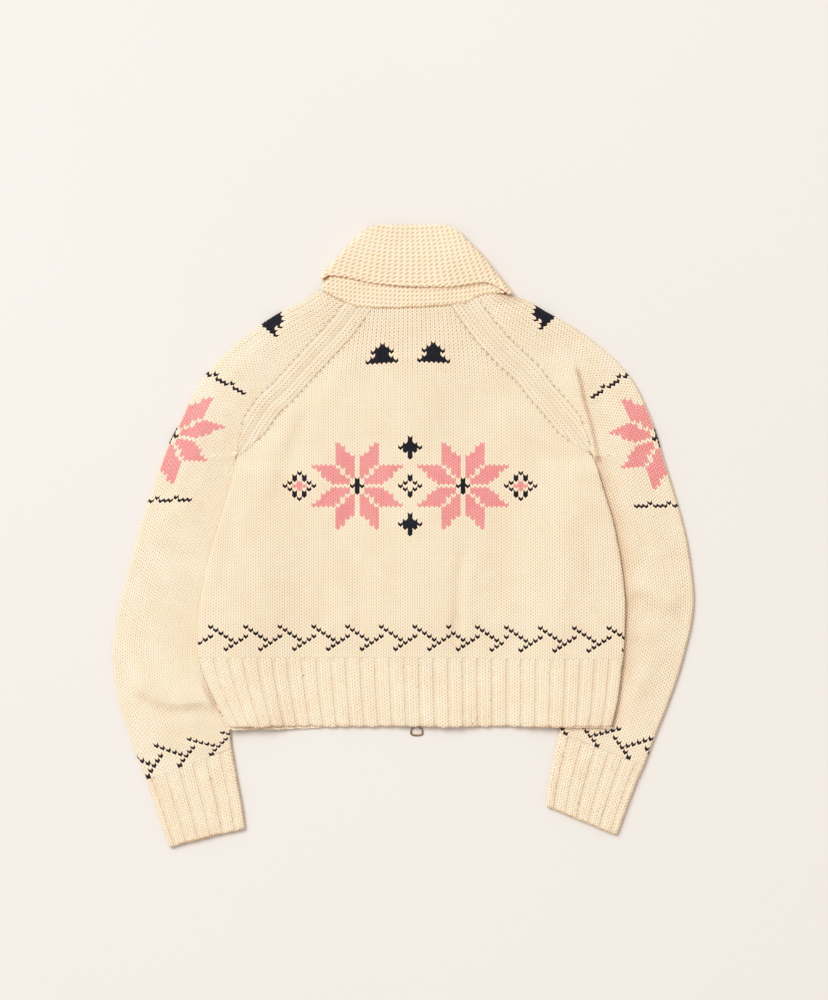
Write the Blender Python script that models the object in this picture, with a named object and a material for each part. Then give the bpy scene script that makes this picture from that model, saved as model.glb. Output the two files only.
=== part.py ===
"""Cowichan cardigan laid flat on its front: heavy knitted raglan jacket with a shawl
collar, ribbed hem and cuffs, and a separating zip whose slider is at its foot.

Frame: +X to the wearer's right, +Y from hem to collar, +Z up out of the back.
z = 0 is the surface that the garment lies on.  Tables are in millimetres."""
import math
import bpy
import bmesh
from mathutils import Matrix, Vector

MM = 0.001
CLOTH = 3.3            # thickness of the knitted wall
GAP = 0.4              # clearance between layers that lie on each other
SEAM = 0.3             # clearance between pieces at a seam
PITCH = CLOTH + GAP    # from one layer to the next
ZIP_X = 17.0           # centre line of the zip
FRONT_EDGE = 5.0       # half the opening between the two fronts
UNDERARM_Y = 102.0
NECK_DIP = 2.5          # fall of the back neck edge in its middle
BOW_LEFT, BOW_RIGHT = -2.0, 6.0   # bow of each sleeve's edge at the neck
ZIP_FOOT_Y = -243.0
ZIP_TOP_Y = 222.0
SLIDER_TOP_Y = -230.5
SLIDER_FOOT_Y = -241.0
PULL_AXIS = (17.0, -242.5, 1.6)   # axis of the D ring, along X
PULL_REST = 3.5        # degrees that the ring hangs below the level at rest
PULL_WIRE = 1.5

# raglan seams: the line shared by the body and the sleeve
RAGLAN = {
    "columns": ("left_x", "left_y", "right_x", "right_y"),
    "rows": [(-58, 290, 78, 295), (-79, 262, 102, 262), (-106, 233, 128, 233),
             (-132, 205, 157, 206), (-152, 183, 175, 183), (-170, 166, 190, 166),
             (-185, 145, 207, 145), (-199, 122, 224, 124), (-211, 102, 238, 104)],
}
# side folds of the body under the arms
SIDES = {
    "columns": ("y", "left_x", "right_x"),
    "rows": [(94, -213, 243), (86, -214.5, 245.5), (78, -216, 248), (70, -218, 250.5),
             (45, -225, 258), (20, -233, 266), (-31, -248, 276), (-82, -258, 282),
             (-133, -261, 281), (-156, -261, 279)],
}
# the ribbed hem draws in below the last row of the body
HEM = {
    "columns": ("y", "left_x", "right_x"),
    "rows": [(-156, -261, 279), (-184, -252, 276), (-209, -240, 273), (-243, -222, 265)],
}
# sleeve stations: the outer fold, and the seam or the underarm fold
SLEEVE_LEFT = {
    "columns": ("outer_x", "outer_y", "inner_x", "inner_y"),
    "rows": [(-107, 314, -58, 290), (-135, 298, -79, 262), (-164, 282, -106, 233),
             (-195, 258, -132, 205), (-223, 235, -152, 183), (-248, 209, -170, 166),
             (-268, 178, -185, 145), (-284, 145, -199, 122), (-299, 115, -211, 102),
             (-305, 100, -214.2, 93), (-311, 82, -216.6, 84), (-318, 62, -215, 66),
             (-325, 42, -204, 46), (-335, 10, -197, 14), (-345, -26, -196, -20),
             (-359, -80, -202, -69), (-369, -133, -210, -125), (-369, -168, -214, -163),
             (-365, -201, -216, -194), (-355, -234, -219, -224), (-342, -270, -220, -247),
             (-326, -311, -218, -271)],
}
SLEEVE_RIGHT = {
    "columns": ("outer_x", "outer_y", "inner_x", "inner_y"),
    "rows": [(132.6, 305.4, 78, 295), (157, 303, 102, 262), (185, 287, 128, 233),
             (217, 266, 157, 206), (245, 244, 175, 183), (269, 223, 190, 166),
             (292, 196, 207, 145), (307, 167, 224, 124), (320, 134, 238, 104),
             (326, 114, 244.6, 93), (332, 93, 247.4, 84), (339, 71, 245, 66),
             (346, 48, 233, 47), (355, 16, 220, 12), (362, -16, 214, -22),
             (369, -72, 213, -77), (367, -107, 210, -107), (360, -139, 209, -133),
             (347, -177, 205, -161), (331, -219, 201, -189), (316, -255, 199, -219),
             (302, -292, 198, -251)],
}
UNDERARM_ROW = 8       # from this station down the sleeve is a closed tube
CUFF_LEFT = {
    "columns": ("outer_x", "outer_y", "inner_x", "inner_y"),
    "rows": [(-326, -311, -218, -271), (-315, -336, -213, -307),
             (-304, -366, -208, -336), (-295, -395.5, -202, -372)],
}
CUFF_RIGHT = {
    "columns": ("outer_x", "outer_y", "inner_x", "inner_y"),
    "rows": [(302, -292, 198, -251), (293, -309, 191, -281),
             (282, -336, 186, -311), (267, -380, 182, -344)],
}
# collar stations from the left front end, round the back of the neck, to the right
# front end: the fold at the top, the free edge of the fall, where the stand meets the
# neck, and the way that the layers stack outwards (degrees: 90 is up, 270 is down)
COLLAR = {
    "columns": ("fold_x", "fold_y", "fall_x", "fall_y", "seam_x", "out"),
    "rows": [(12, 280, 12, 199, 12, 270), (-1, 303, -14, 223, -10, 270),
             (-14, 327, -40, 250, -35, 270), (-26, 349, -65, 278, -58, 270),
             (-37, 370, -84, 305, -80, 270), (-45, 383, -101, 324, -103, 270),
             (-45, 383, -101, 324, -103, 225), (-45, 383, -101, 324, -103, 180),
             (-45, 383, -101, 324, -103, 135), (-45, 383, -101, 324, -103, 90),
             (-42, 386, -94, 328, -92, 90), (-37, 389, -77, 328, -78, 90),
             (-29, 391, -60, 324.5, -66, 90), (-18, 392, -45, 321, -58, 90),
             (-7, 392, -29, 319, -38, 90), (6, 392, -4, 316, -12, 90), (19, 392, 20, 315, 14, 90),
             (33, 392, 46, 315, 40, 90), (46, 391.5, 66, 316, 62, 90),
             (56, 389, 82, 318, 78, 90), (63, 385, 96, 320, 90, 90), (68, 380, 108, 320, 101, 90),
             (74, 373, 121, 314, 114, 90), (79, 367, 133, 305, 127, 90),
             (79, 367, 133, 305, 127, 45), (79, 367, 133, 305, 127, 0),
             (79, 367, 133, 305, 127, -45), (79, 367, 133, 305, 127, -90),
             (68, 350, 108, 282, 104, -90), (57, 333, 88, 259, 78, -90),
             (45, 315, 66, 238, 58, -90), (33, 297, 42, 217, 38, -90),
             (22, 280, 22, 199, 22, -90)],
}
FRONT_REACH = 13.0     # how far past the collar the fronts stay raised
BACK_REACH = 24.0      # the same for the back
# hidden V lines of the front collar, which raise what lies on it
FALL_LINE = ((-101, 324), (17, 197), (133, 305))
FOLD_LINE = ((-45, 383), (17, 278), (79, 367))


def soft(u):
    """Smooth step from 0 to 1."""
    u = min(1.0, max(0.0, u))
    return u * u * (3 - 2 * u)


def beyond(x, y, a, b):
    """Signed distance of a point to the right-hand side of the line from a to b."""
    dx, dy = b[0] - a[0], b[1] - a[1]
    return ((x - a[0]) * dy - (y - a[1]) * dx) / math.hypot(dx, dy)


def over_fall(x, y, reach=FRONT_REACH):
    """1 over the fall of the front collar and for reach beyond it, 0 away from it."""
    out = max(beyond(x, y, FALL_LINE[0], FALL_LINE[1]), beyond(x, y, FALL_LINE[1], FALL_LINE[2]))
    return (1 - soft((out - reach) / 18)) * over_fronts(x, y)


def over_fronts(x, y):
    """1 over the fronts and the front collar, 0 in the open V of the neck."""
    deep = -max(beyond(x, y, FOLD_LINE[0], FOLD_LINE[1]), beyond(x, y, FOLD_LINE[1], FOLD_LINE[2]))
    return 1 - soft((deep - 2) / 26)


def table_at(rows, y, column):
    """Value of a column at height y, for rows that run down the garment."""
    for a, b in zip(rows, rows[1:]):
        if b[0] <= y <= a[0]:
            f = (a[0] - y) / (a[0] - b[0])
            return a[column] + f * (b[column] - a[column])
    return rows[0][column] if y > rows[0][0] else rows[-1][column]


def inner_fold(rows, y):
    """x of the underarm fold of a sleeve at height y."""
    folds = [(r[3], r[2]) for r in rows[UNDERARM_ROW:]]
    return table_at(folds, y, 1)


def over_sleeve(x, y):
    """1 where the body lies on a sleeve, with a slope beside it, 0 elsewhere."""
    if y > UNDERARM_Y:
        return 0.0
    left, right = inner_fold(SLEEVE_LEFT["rows"], y), inner_fold(SLEEVE_RIGHT["rows"], y)
    away = min(x - left, right - x)
    return soft((UNDERARM_Y - y) / 26) * (1 - soft((away - 4) / 26))


def zip_ridge(x, y):
    """Height that the zip gives the back above it."""
    top = 1.9 + 1.0 * soft((-190 - y) / 30)
    return top * (1 - soft((abs(x - ZIP_X) - 4) / 34)) * soft((236 - y) / 12)


def level_front(x, y):
    """Underside of the lowest body layer."""
    return PITCH * over_fall(x, y) + 2 * PITCH * over_sleeve(x, y)


def level_back(x, y):
    """Underside of the back."""
    return (PITCH * (over_fronts(x, y) + over_fall(x, y, BACK_REACH)) + 2 * PITCH * over_sleeve(x, y)
            + zip_ridge(x, y))


# ---------------------------------------------------------------- meshes
def material(name, colour, rough, metal=0.0):
    mat = bpy.data.materials.new(name)
    mat.use_nodes = True
    shader = mat.node_tree.nodes["Principled BSDF"]
    shader.inputs["Base Color"].default_value = (*colour, 1)
    shader.inputs["Roughness"].default_value = rough
    shader.inputs["Metallic"].default_value = metal
    return mat


def add_object(name, mesh, mat):
    obj = bpy.data.objects.new(name, mesh)
    obj.data.materials.append(mat)
    PARTS.objects.link(obj)
    return obj


def wall(name, upper, lower, mat, tube_from=None, flip=False):
    """Closed wall between two grids of points.  From row tube_from on, the first and
    the last column are one line, so the wall closes into a tube there."""
    bm = bmesh.new()
    rows, cols = len(upper), len(upper[0])

    def net(grid):
        out = []
        for i, row in enumerate(grid):
            line = [bm.verts.new(Vector(p) * MM) for p in row[:-1]]
            closed = tube_from is not None and i >= tube_from
            line.append(line[0] if closed else bm.verts.new(Vector(row[-1]) * MM))
            out.append(line)
        return out

    top, low = net(upper), net(lower)
    for i in range(rows - 1):
        for j in range(cols - 1):
            bm.faces.new((top[i][j], top[i + 1][j], top[i + 1][j + 1], top[i][j + 1]))
            bm.faces.new((low[i][j], low[i][j + 1], low[i + 1][j + 1], low[i + 1][j]))
    for j in range(cols - 1):
        bm.faces.new((top[0][j], top[0][j + 1], low[0][j + 1], low[0][j]))
        bm.faces.new((top[-1][j + 1], top[-1][j], low[-1][j], low[-1][j + 1]))
    for i in range(rows - 1 if tube_from is None else tube_from):
        bm.faces.new((top[i + 1][0], top[i][0], low[i][0], low[i + 1][0]))
        bm.faces.new((top[i][-1], top[i + 1][-1], low[i + 1][-1], low[i][-1]))
    bmesh.ops.recalc_face_normals(bm, faces=bm.faces)
    mesh = bpy.data.meshes.new(name)
    bm.to_mesh(mesh)
    bm.free()
    mesh.shade_smooth()
    mesh.set_sharp_from_angle(angle=math.radians(50))
    return add_object(name, mesh, mat)


def finer(rows, parts):
    """Rows of a table with parts - 1 rows added between each two."""
    out = []
    for a, b in zip(rows, rows[1:]):
        for k in range(parts):
            out.append(tuple(p + (q - p) * k / parts for p, q in zip(a, b)))
    return out + [tuple(rows[-1])]


NECK_ROWS = 4                # raglan rows that are halved near the neck
ROUND = (0.0, 0.2, 1.0)      # places across a rounded edge, from outside in
SLOPE = (-6, 6, 16, 30)      # places across the slope beside a sleeve
RIDGE = (38, 17, 5)          # places across the ridge over the zip


def body_columns(left, right, slope_l, slope_r, lo, hi, rounded_l, rounded_r):
    """x of each column across a body row, with the drop of its rounded edge.  slope_l
    and slope_r are the places where the body comes down beside the sleeves."""
    cols = []
    if lo is None:
        for f in ROUND:
            cols.append((left + f * CLOTH, f if rounded_l else 1.0))
        for off in SLOPE:
            cols.append((slope_l + off, 1.0))
        start = slope_l + SLOPE[-1]
    else:
        start = lo
        cols.append((lo, 1.0))
    tail = []
    if hi is None:
        for f in ROUND:
            tail.append((right - f * CLOTH, f if rounded_r else 1.0))
        for off in SLOPE:
            tail.append((slope_r - off, 1.0))
        end = slope_r - SLOPE[-1]
    else:
        end = hi
        tail.append((hi, 1.0))
    count = 3
    marks = [start + (end - start) * k / count for k in range(1, count)]
    if lo is None and hi is None:
        marks = [(start + ZIP_X - RIDGE[0]) / 2]
        marks += [ZIP_X - d for d in RIDGE] + [ZIP_X + d for d in RIDGE[::-1]]
        marks += [(end + ZIP_X + RIDGE[0]) / 2]
    cols += [(x, 1.0) for x in marks]
    return cols + tail[::-1]


def raglan_rows():
    """Rows of the raglan, with one more between each two near the neck."""
    rows = RAGLAN["rows"]
    return finer(rows[:NECK_ROWS + 1], 2)[:-1] + list(rows[NECK_ROWS:])


def body_rows(part_from, part_to):
    """Rows of the body from the neck to the hem: left and right ends, whether the ends
    are folds, and where the slopes beside the sleeves are."""
    rows = []
    for lx, ly, rx, ry in raglan_rows():
        rows.append((lx + SEAM / 2, ly, rx - SEAM / 2, ry, False))
    for y, lx, rx in SIDES["rows"]:
        rows.append((lx, y, rx, y, True))
    for y, lx, rx in HEM["rows"]:
        rows.append((lx, y, rx, y, True))
    return rows[part_from:part_to]


N_RAGLAN = len(RAGLAN["rows"]) + NECK_ROWS
N_BODY = N_RAGLAN + len(SIDES["rows"])


def lerp_y(ly, ry, lx, rx, x):
    """Height of a body row that runs from (lx, ly) to (rx, ry)."""
    return ly + (ry - ly) * (x - lx) / (rx - lx)


def body_sheet(name, rows, level, up, lo, hi, mat, neck=None, hem=None, top_shift=0.0):
    """One layer of the body.  up is True for the back, whose outer side is its top."""
    upper, lower = [], []
    for n, (lx, ly, rx, ry, folded) in enumerate(rows):
        mid = (ly + ry) / 2
        narrow = min(1.0, (rx - lx) / 300.0)
        if folded:
            slope_l = max(lx + CLOTH + 8, inner_fold(SLEEVE_LEFT["rows"], mid))
            slope_r = min(rx - CLOTH - 8, inner_fold(SLEEVE_RIGHT["rows"], mid))
        else:
            slope_l, slope_r = lx + (CLOTH + 8) * narrow, rx - (CLOTH + 8) * narrow
        cols = body_columns(lx, rx, slope_l, slope_r, lo, hi, folded, folded)
        if not folded and narrow < 1:
            cols = squeeze(cols, lx, rx, narrow, lo, hi)
        up_row, low_row = [], []
        for x, drop in cols:
            y = lerp_y(ly, ry, lx, rx, x)
            if n == 0 and neck:
                y = neck(x, y) - top_shift
            if n == 0 and not neck:
                y -= top_shift
            if hem and n == len(rows) - 1:
                y = hem(x)
            base = level(x, y)
            fall = CLOTH * (1 - math.sqrt(max(0.0, 1 - (1 - drop) ** 2)))
            edge = folded and drop < 1
            z_top = base + CLOTH - (fall if (edge and up) else 0)
            z_low = base + (fall if (edge and not up) else 0)
            if edge and z_top - z_low < 0.25:
                z_top, z_low = (z_low + 0.25, z_low) if up else (z_top, z_top - 0.25)
            up_row.append((x, y, z_top))
            low_row.append((x, y, z_low))
        upper.append(up_row)
        lower.append(low_row)
    return wall(name, upper, lower, mat)


def squeeze(cols, lx, rx, narrow, lo, hi):
    """Keep the columns in order where the body narrows to the neck."""
    a = lx if lo is None else lo
    b = rx if hi is None else hi
    n = len(cols)
    xs = [c[0] for c in cols]
    even = [a + (b - a) * k / (n - 1) for k in range(n)]
    keep = soft((rx - lx - 200) / 160)
    return [(e + (x - e) * keep, c[1]) for x, e, c in zip(xs, even, cols)]


def neck_back(x, y):
    """Neck edge of the back: almost straight, a little lower in the middle."""
    u = (x + 58) / 136
    return y - NECK_DIP * math.sin(math.pi * min(1, max(0, u)))


def neck_front_left(x, y):
    f = (x + 58) / (ZIP_X - FRONT_EDGE + 58)
    return 290 + (225 - 290) * f


def neck_front_right(x, y):
    f = (78 - x) / (78 - ZIP_X - FRONT_EDGE)
    return 295 + (225 - 295) * f


def front_sheet(name, rows, level, lo, hi, mat, neck):
    """A front: as the back, but its rows fall away to the zip at the neck."""
    upper, lower = [], []
    for n, (lx, ly, rx, ry, folded) in enumerate(rows):
        mid = (ly + ry) / 2
        narrow = min(1.0, (rx - lx) / 300.0)
        if folded:
            slope_l = max(lx + CLOTH + 8, inner_fold(SLEEVE_LEFT["rows"], mid))
            slope_r = min(rx - CLOTH - 8, inner_fold(SLEEVE_RIGHT["rows"], mid))
        else:
            slope_l, slope_r = lx + (CLOTH + 8) * narrow, rx - (CLOTH + 8) * narrow
        cols = body_columns(lx, rx, slope_l, slope_r, lo, hi, folded, folded)
        if not folded:
            cols = squeeze(cols, lx, rx, narrow, lo, hi)
        up_row, low_row = [], []
        a = lx if lo is None else lo
        b = rx if hi is None else hi
        for x, drop in cols:
            y = lerp_y(ly, ry, lx, rx, x)
            if not folded:
                at_zip = (x - a) / (b - a) if hi is not None else (b - x) / (b - a)
                zip_y = 225 + (UNDERARM_Y - 225) * n / (N_RAGLAN - 1)
                side_y = ly if hi is not None else ry
                y = side_y + (zip_y - side_y) * at_zip
            base = level(x, y)
            fall = CLOTH * (1 - math.sqrt(max(0.0, 1 - (1 - drop) ** 2)))
            edge = folded and drop < 1
            z_top = base + CLOTH
            z_low = base + (fall if edge else 0)
            if edge and z_top - z_low < 0.25:
                z_low = z_top - 0.25
            up_row.append((x, y, z_top))
            low_row.append((x, y, z_low))
        upper.append(up_row)
        lower.append(low_row)
    return wall(name, upper, lower, mat)


def sleeve_tube(name, rows, mat, tube_from, bow=0.0):
    """A sleeve or a cuff: a flattened tube, open along the raglan seams above
    tube_from.  bow raises the middle of the edge at the neck."""
    upper, lower = [], []
    if tube_from:
        rows = finer(rows[:3], 2)[:-1] + list(rows[2:])
        tube_from += 2
    height = 2 * CLOTH + GAP
    for n, (ox, oy, ix, iy) in enumerate(rows):
        length = math.hypot(ix - ox, iy - oy)
        ux, uy = (ix - ox) / length, (iy - oy) / length
        end = length - (SEAM / 2 / max(0.3, abs(ux)) if n <= tube_from else 0)
        bend = bow * max(0.0, 1 - n / 5)
        radius = height / 2
        out_line, in_line = [], []

        def put(along, z, z_in, along_in):
            for line, s, h in ((out_line, along, z), (in_line, along_in, z_in)):
                lean = bend * 4 * (s / length) * (1 - s / length)
                up = 1 if ux > 0 else -1
                x, y = ox + ux * s - uy * lean * up, oy + uy * s + ux * lean * up
                low = PITCH * over_fall(x, y)
                high = PITCH * over_fall(x, y, BACK_REACH)
                line.append((x, y, h + low + (high - low) * h / height))

        inner_end = end
        stops = [inner_end - f * (inner_end - radius) for f in (0.0, 0.04, 0.12, 0.3, 0.55, 0.8)]
        closed = n >= tube_from
        if closed:
            # the underarm fold starts at its own middle height
            mid = radius
            put(inner_end, mid, mid, inner_end - CLOTH)
            for a in (45, 90):
                c, s = math.cos(math.radians(a)), math.sin(math.radians(a))
                put(inner_end - radius + radius * c, mid + radius * s,
                    mid + GAP / 2 * s, inner_end - radius + GAP / 2 * c)
        else:
            for s in stops[:3]:
                put(s, height, height - CLOTH, s)
        for s in stops[3:]:
            put(s, height, height - CLOTH, s)
        for a in (90, 135, 180, 225, 270):
            c, s = math.cos(math.radians(a)), math.sin(math.radians(a))
            put(radius + radius * c, radius + radius * s, radius + GAP / 2 * s, radius + GAP / 2 * c)
        for s in stops[:2:-1]:
            put(s, 0.0, CLOTH, s)
        if closed:
            for a in (270, 315):
                c, s = math.cos(math.radians(a)), math.sin(math.radians(a))
                put(inner_end - radius + radius * c, radius + radius * s,
                    radius + GAP / 2 * s, inner_end - radius + GAP / 2 * c)
            put(inner_end, radius, radius, inner_end - CLOTH)
        else:
            for s in stops[2::-1]:
                put(s, 0.0, CLOTH, s)
        upper.append(out_line)
        lower.append(in_line)
    return wall(name, upper, lower, mat, tube_from=tube_from)


def neck_line(x, front):
    """Where the neck seam is at x, on the back or on the front of the neck."""
    left, right = SLEEVE_LEFT["rows"][0], SLEEVE_RIGHT["rows"][0]
    for (ox, oy, ix, iy), bow in ((left, BOW_LEFT), (right, BOW_RIGHT)):
        f = (x - ox) / (ix - ox)
        if f <= 1:
            return oy + (iy - oy) * f + bow * 4 * f * (1 - f)
    if not front:
        u = (x - left[2]) / (right[2] - left[2])
        return left[3] + (right[3] - left[3]) * u - NECK_DIP * math.sin(math.pi * u)
    if x < ZIP_X:
        return neck_front_left(x, 0)
    return neck_front_right(x, 0)


def collar_band(name, rows, mat, parts=2):
    """Stand and fall in one band, folded outwards along its top and wound round the
    neck.  Each station is a line from the neck seam to the fold and back."""
    upper, lower = [], []
    rows = finer(rows, parts)
    half = CLOTH / 2
    for fx, fy, ex, ey, sx, out in rows:
        sy = neck_line(sx, out > 90 or out < 90) + (0.6 if out == 90 else 1.6)
        nz = math.sin(math.radians(out))
        nh = math.cos(math.radians(out))
        # the way across the hinge line, in plan, for the stations that turn
        dx, dy = fx - ex, fy - ey
        size = math.hypot(dx, dy)
        dx, dy = dx / size, dy / size
        hx, hy = (dy, -dx)
        front = 1.5 * PITCH + half          # middle of four layers
        def centre(x, y):
            if abs(nh) > 0.02 or nz < 0:
                return front
            rest = PITCH * (over_fronts(x, y) + over_fall(x, y))
            return rest + half - PITCH / 2
        a_line, b_line = [], []

        def put(x, y, off, ax, az):
            """Point on the middle surface at distance off from the hinge, and the
            direction across the wall given by its share along the band and outwards."""
            z0 = centre(x, y)
            px, py, pz = x + hx * nh * off, y + hy * nh * off, z0 + nz * off
            wx = dx * ax + hx * nh * az
            wy = dy * ax + hy * nh * az
            wz = nz * az
            a_line.append((px + wx * half, py + wy * half, pz + wz * half))
            b_line.append((px - wx * half, py - wy * half, pz - wz * half))

        for k in range(4):                    # stand, from the neck seam to the fold
            f = k / 4
            put(sx + (fx - sx) * f, sy + (fy - sy) * f, PITCH / 2, 0, -1)
        for k in range(5):                    # fold at the top
            a = math.radians(-90 + 45 * k)
            r = PITCH / 2
            z0 = centre(fx, fy)
            c, s = math.cos(a), math.sin(a)
            off = PITCH + r * s
            x, y = fx + dx * r * c, fy + dy * r * c
            px, py, pz = x + hx * nh * off, y + hy * nh * off, z0 + nz * off
            wx, wy, wz = dx * c + hx * nh * s, dy * c + hy * nh * s, nz * s
            a_line.append((px + wx * half, py + wy * half, pz + wz * half))
            b_line.append((px - wx * half, py - wy * half, pz - wz * half))
        for k in range(1, 5):                 # fall, down to its free edge
            f = k / 4
            put(fx + (ex - fx) * f, fy + (ey - fy) * f, 1.5 * PITCH, 0, 1)
        upper.append(a_line)
        lower.append(b_line)
    return wall(name, upper, lower, mat)


def block(size, at, bevel):
    """Bevelled block as an unlinked mesh object for a Boolean or a part."""
    bm = bmesh.new()
    bmesh.ops.create_cube(bm, size=1.0)
    bmesh.ops.scale(bm, vec=Vector(size) * MM, verts=bm.verts)
    if bevel:
        bmesh.ops.bevel(bm, geom=bm.edges[:], offset=bevel * MM, segments=1, affect="EDGES",
                        profile=0.5)
    bmesh.ops.translate(bm, vec=Vector(at) * MM, verts=bm.verts)
    mesh = bpy.data.meshes.new("block")
    bm.to_mesh(mesh)
    bm.free()
    return mesh


def cutter(name, mesh):
    obj = bpy.data.objects.new(name, mesh)
    obj.hide_render = True
    obj.display_type = "WIRE"
    CUTTERS.objects.link(obj)
    return obj


def boolean(obj, other, operation):
    mod = obj.modifiers.new(other.name, "BOOLEAN")
    mod.operation = operation
    mod.object = other
    mod.solver = "EXACT"


def zip_slider(mat):
    """Two plates joined by a core, with a lug that carries the pull."""
    long = SLIDER_TOP_Y - SLIDER_FOOT_Y
    y = (SLIDER_TOP_Y + SLIDER_FOOT_Y) / 2
    ax, ay, az = PULL_AXIS
    obj = add_object("zip_slider", block((9.0, long, 1.0), (ax, y, 2.2), 0.3), mat)
    for name, size, at in (("slider_upper", (9.0, long, 1.0), (ax, y, 5.4)),
                           ("slider_core", (5.4, long - 1.2, 3.6), (ax, y, 3.8)),
                           ("slider_lug", (2.2, 4.6, 3.0), (ax, ay + 0.6, az + 0.1))):
        boolean(obj, cutter(name, block(size, at, 0.25)), "UNION")
    bm = bmesh.new()
    bmesh.ops.create_cone(bm, cap_ends=True, segments=16, radius1=1.1 * MM, radius2=1.1 * MM,
                          depth=8 * MM)
    bmesh.ops.rotate(bm, verts=bm.verts, matrix=Matrix.Rotation(math.radians(90), 3, "Y"))
    bmesh.ops.translate(bm, vec=Vector(PULL_AXIS) * MM, verts=bm.verts)
    mesh = bpy.data.meshes.new("eye")
    bm.to_mesh(mesh)
    bm.free()
    boolean(obj, cutter("slider_eye", mesh), "DIFFERENCE")
    return obj


def zip_pull(mat):
    """D ring: a bar through the lug, shoulders, and a wide bow below them."""
    half = [(0.0, 0.0), (2.6, 0.0), (3.0, -0.5), (3.2, -2.2), (4.2, -3.1), (6.3, -3.2), (6.9, -3.9),
            (7.1, -6.0), (7.3, -8.2), (7.1, -9.4), (5.6, -10.6), (3.6, -11.5), (1.8, -12.0)]
    ring = half + [(0.0, -12.2)] + [(-x, y) for x, y in half[:0:-1]]
    curve = bpy.data.curves.new("zip_pull", "CURVE")
    curve.dimensions = "3D"
    curve.bevel_depth = PULL_WIRE / 2 * MM
    curve.bevel_resolution = 2
    line = curve.splines.new("POLY")
    line.points.add(len(ring) - 1)
    for point, (x, y) in zip(line.points, ring):
        point.co = (x * MM, y * MM, 0, 1)
    line.use_cyclic_u = True
    curve.materials.append(mat)
    obj = bpy.data.objects.new("zip_pull", curve)
    obj.location = Vector(PULL_AXIS) * MM
    obj.rotation_euler = (math.radians(PULL_REST), 0, 0)
    PARTS.objects.link(obj)
    return obj


# ---------------------------------------------------------------- scene
for old in list(bpy.data.objects):
    bpy.data.objects.remove(old, do_unlink=True)
PARTS = bpy.data.collections.new("cowichan_cardigan")
bpy.context.scene.collection.children.link(PARTS)
CUTTERS = bpy.data.collections.new("cutters")
bpy.context.scene.collection.children.link(CUTTERS)

WOOL = {n: material("wool_" + n, (0.86, 0.76, 0.58), 0.95) for n in
        ("back", "front_l", "front_r", "sleeve_l", "sleeve_r", "rib_b", "rib_l", "rib_r",
         "cuff_l", "cuff_r", "collar")}
TAPE = material("cotton_tape", (0.80, 0.71, 0.55), 0.9)
BRASS = material("antique_brass", (0.42, 0.33, 0.16), 0.4, 1.0)

body = body_rows(0, N_BODY)
body_sheet("back", body, level_back, True, None, None, WOOL["back"], neck=neck_back)
front_sheet("front_left", body, level_front, None, ZIP_X - FRONT_EDGE, WOOL["front_l"], neck_front_left)
front_sheet("front_right", body, level_front, ZIP_X + FRONT_EDGE, None, WOOL["front_r"], neck_front_right)

sleeve_tube("sleeve_left", SLEEVE_LEFT["rows"], WOOL["sleeve_l"], UNDERARM_ROW, bow=BOW_LEFT)
sleeve_tube("sleeve_right", SLEEVE_RIGHT["rows"], WOOL["sleeve_r"], UNDERARM_ROW, bow=BOW_RIGHT)


def shifted(rows, gap):
    """Rows of a table whose first row is moved along by a seam's gap."""
    a, b = rows[0], rows[1]
    out_len = math.hypot(b[0] - a[0], b[1] - a[1])
    in_len = math.hypot(b[2] - a[2], b[3] - a[3])
    first = (a[0] + (b[0] - a[0]) * gap / out_len, a[1] + (b[1] - a[1]) * gap / out_len,
             a[2] + (b[2] - a[2]) * gap / in_len, a[3] + (b[3] - a[3]) * gap / in_len)
    return [first] + list(rows[1:])


sleeve_tube("cuff_left", shifted(CUFF_LEFT["rows"], 0.45), WOOL["cuff_l"], 0)
sleeve_tube("cuff_right", shifted(CUFF_RIGHT["rows"], 0.45), WOOL["cuff_r"], 0)

hem = body_rows(N_BODY, N_BODY + len(HEM["rows"]))
body_sheet("hem_rib_back", hem, level_back, True, None, None, WOOL["rib_b"], top_shift=SEAM)
body_sheet("hem_rib_front_left", hem, level_front, False, None, ZIP_X - FRONT_EDGE, WOOL["rib_l"],
           top_shift=SEAM, hem=lambda x: -243 - 4 * soft((-60 - x) / 120))
body_sheet("hem_rib_front_right", hem, level_front, False, ZIP_X + FRONT_EDGE, None, WOOL["rib_r"],
           top_shift=SEAM, hem=lambda x: -243 - 2 * soft((x - 120) / 100))

collar_band("collar", COLLAR["rows"], WOOL["collar"], parts=1)


def zip_strip(name, x0, x1, z0, z1, foot, mat):
    """Straight strip of the zip, raised where the collar lies under the fronts."""
    ys = [ZIP_TOP_Y, 184, 177, 170, 163, 154, 144, 20, -110, foot]
    upper = [[(x, y, z1 + PITCH * over_fall(ZIP_X, y)) for x in (x0, x1)] for y in ys]
    lower = [[(x, y, z0 + PITCH * over_fall(ZIP_X, y)) for x in (x0, x1)] for y in ys]
    return wall(name, upper, lower, mat)


TAPE_Z = CLOTH + SEAM
zip_strip("zip_tape_left", ZIP_X - 17, ZIP_X - 3.3, TAPE_Z, TAPE_Z + 0.6, ZIP_FOOT_Y + 1, TAPE)
zip_strip("zip_tape_right", ZIP_X + 3.3, ZIP_X + 17, TAPE_Z, TAPE_Z + 0.6, ZIP_FOOT_Y + 1, TAPE)
zip_strip("zip_chain_left", ZIP_X - 3.0, ZIP_X - 0.15, TAPE_Z - 0.9, TAPE_Z + 1.5, SLIDER_TOP_Y + 0.3, BRASS)
zip_strip("zip_chain_right", ZIP_X + 0.15, ZIP_X + 3.0, TAPE_Z - 0.9, TAPE_Z + 1.5, SLIDER_TOP_Y + 0.3, BRASS)
zip_slider(BRASS)
zip_pull(BRASS)
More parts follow.
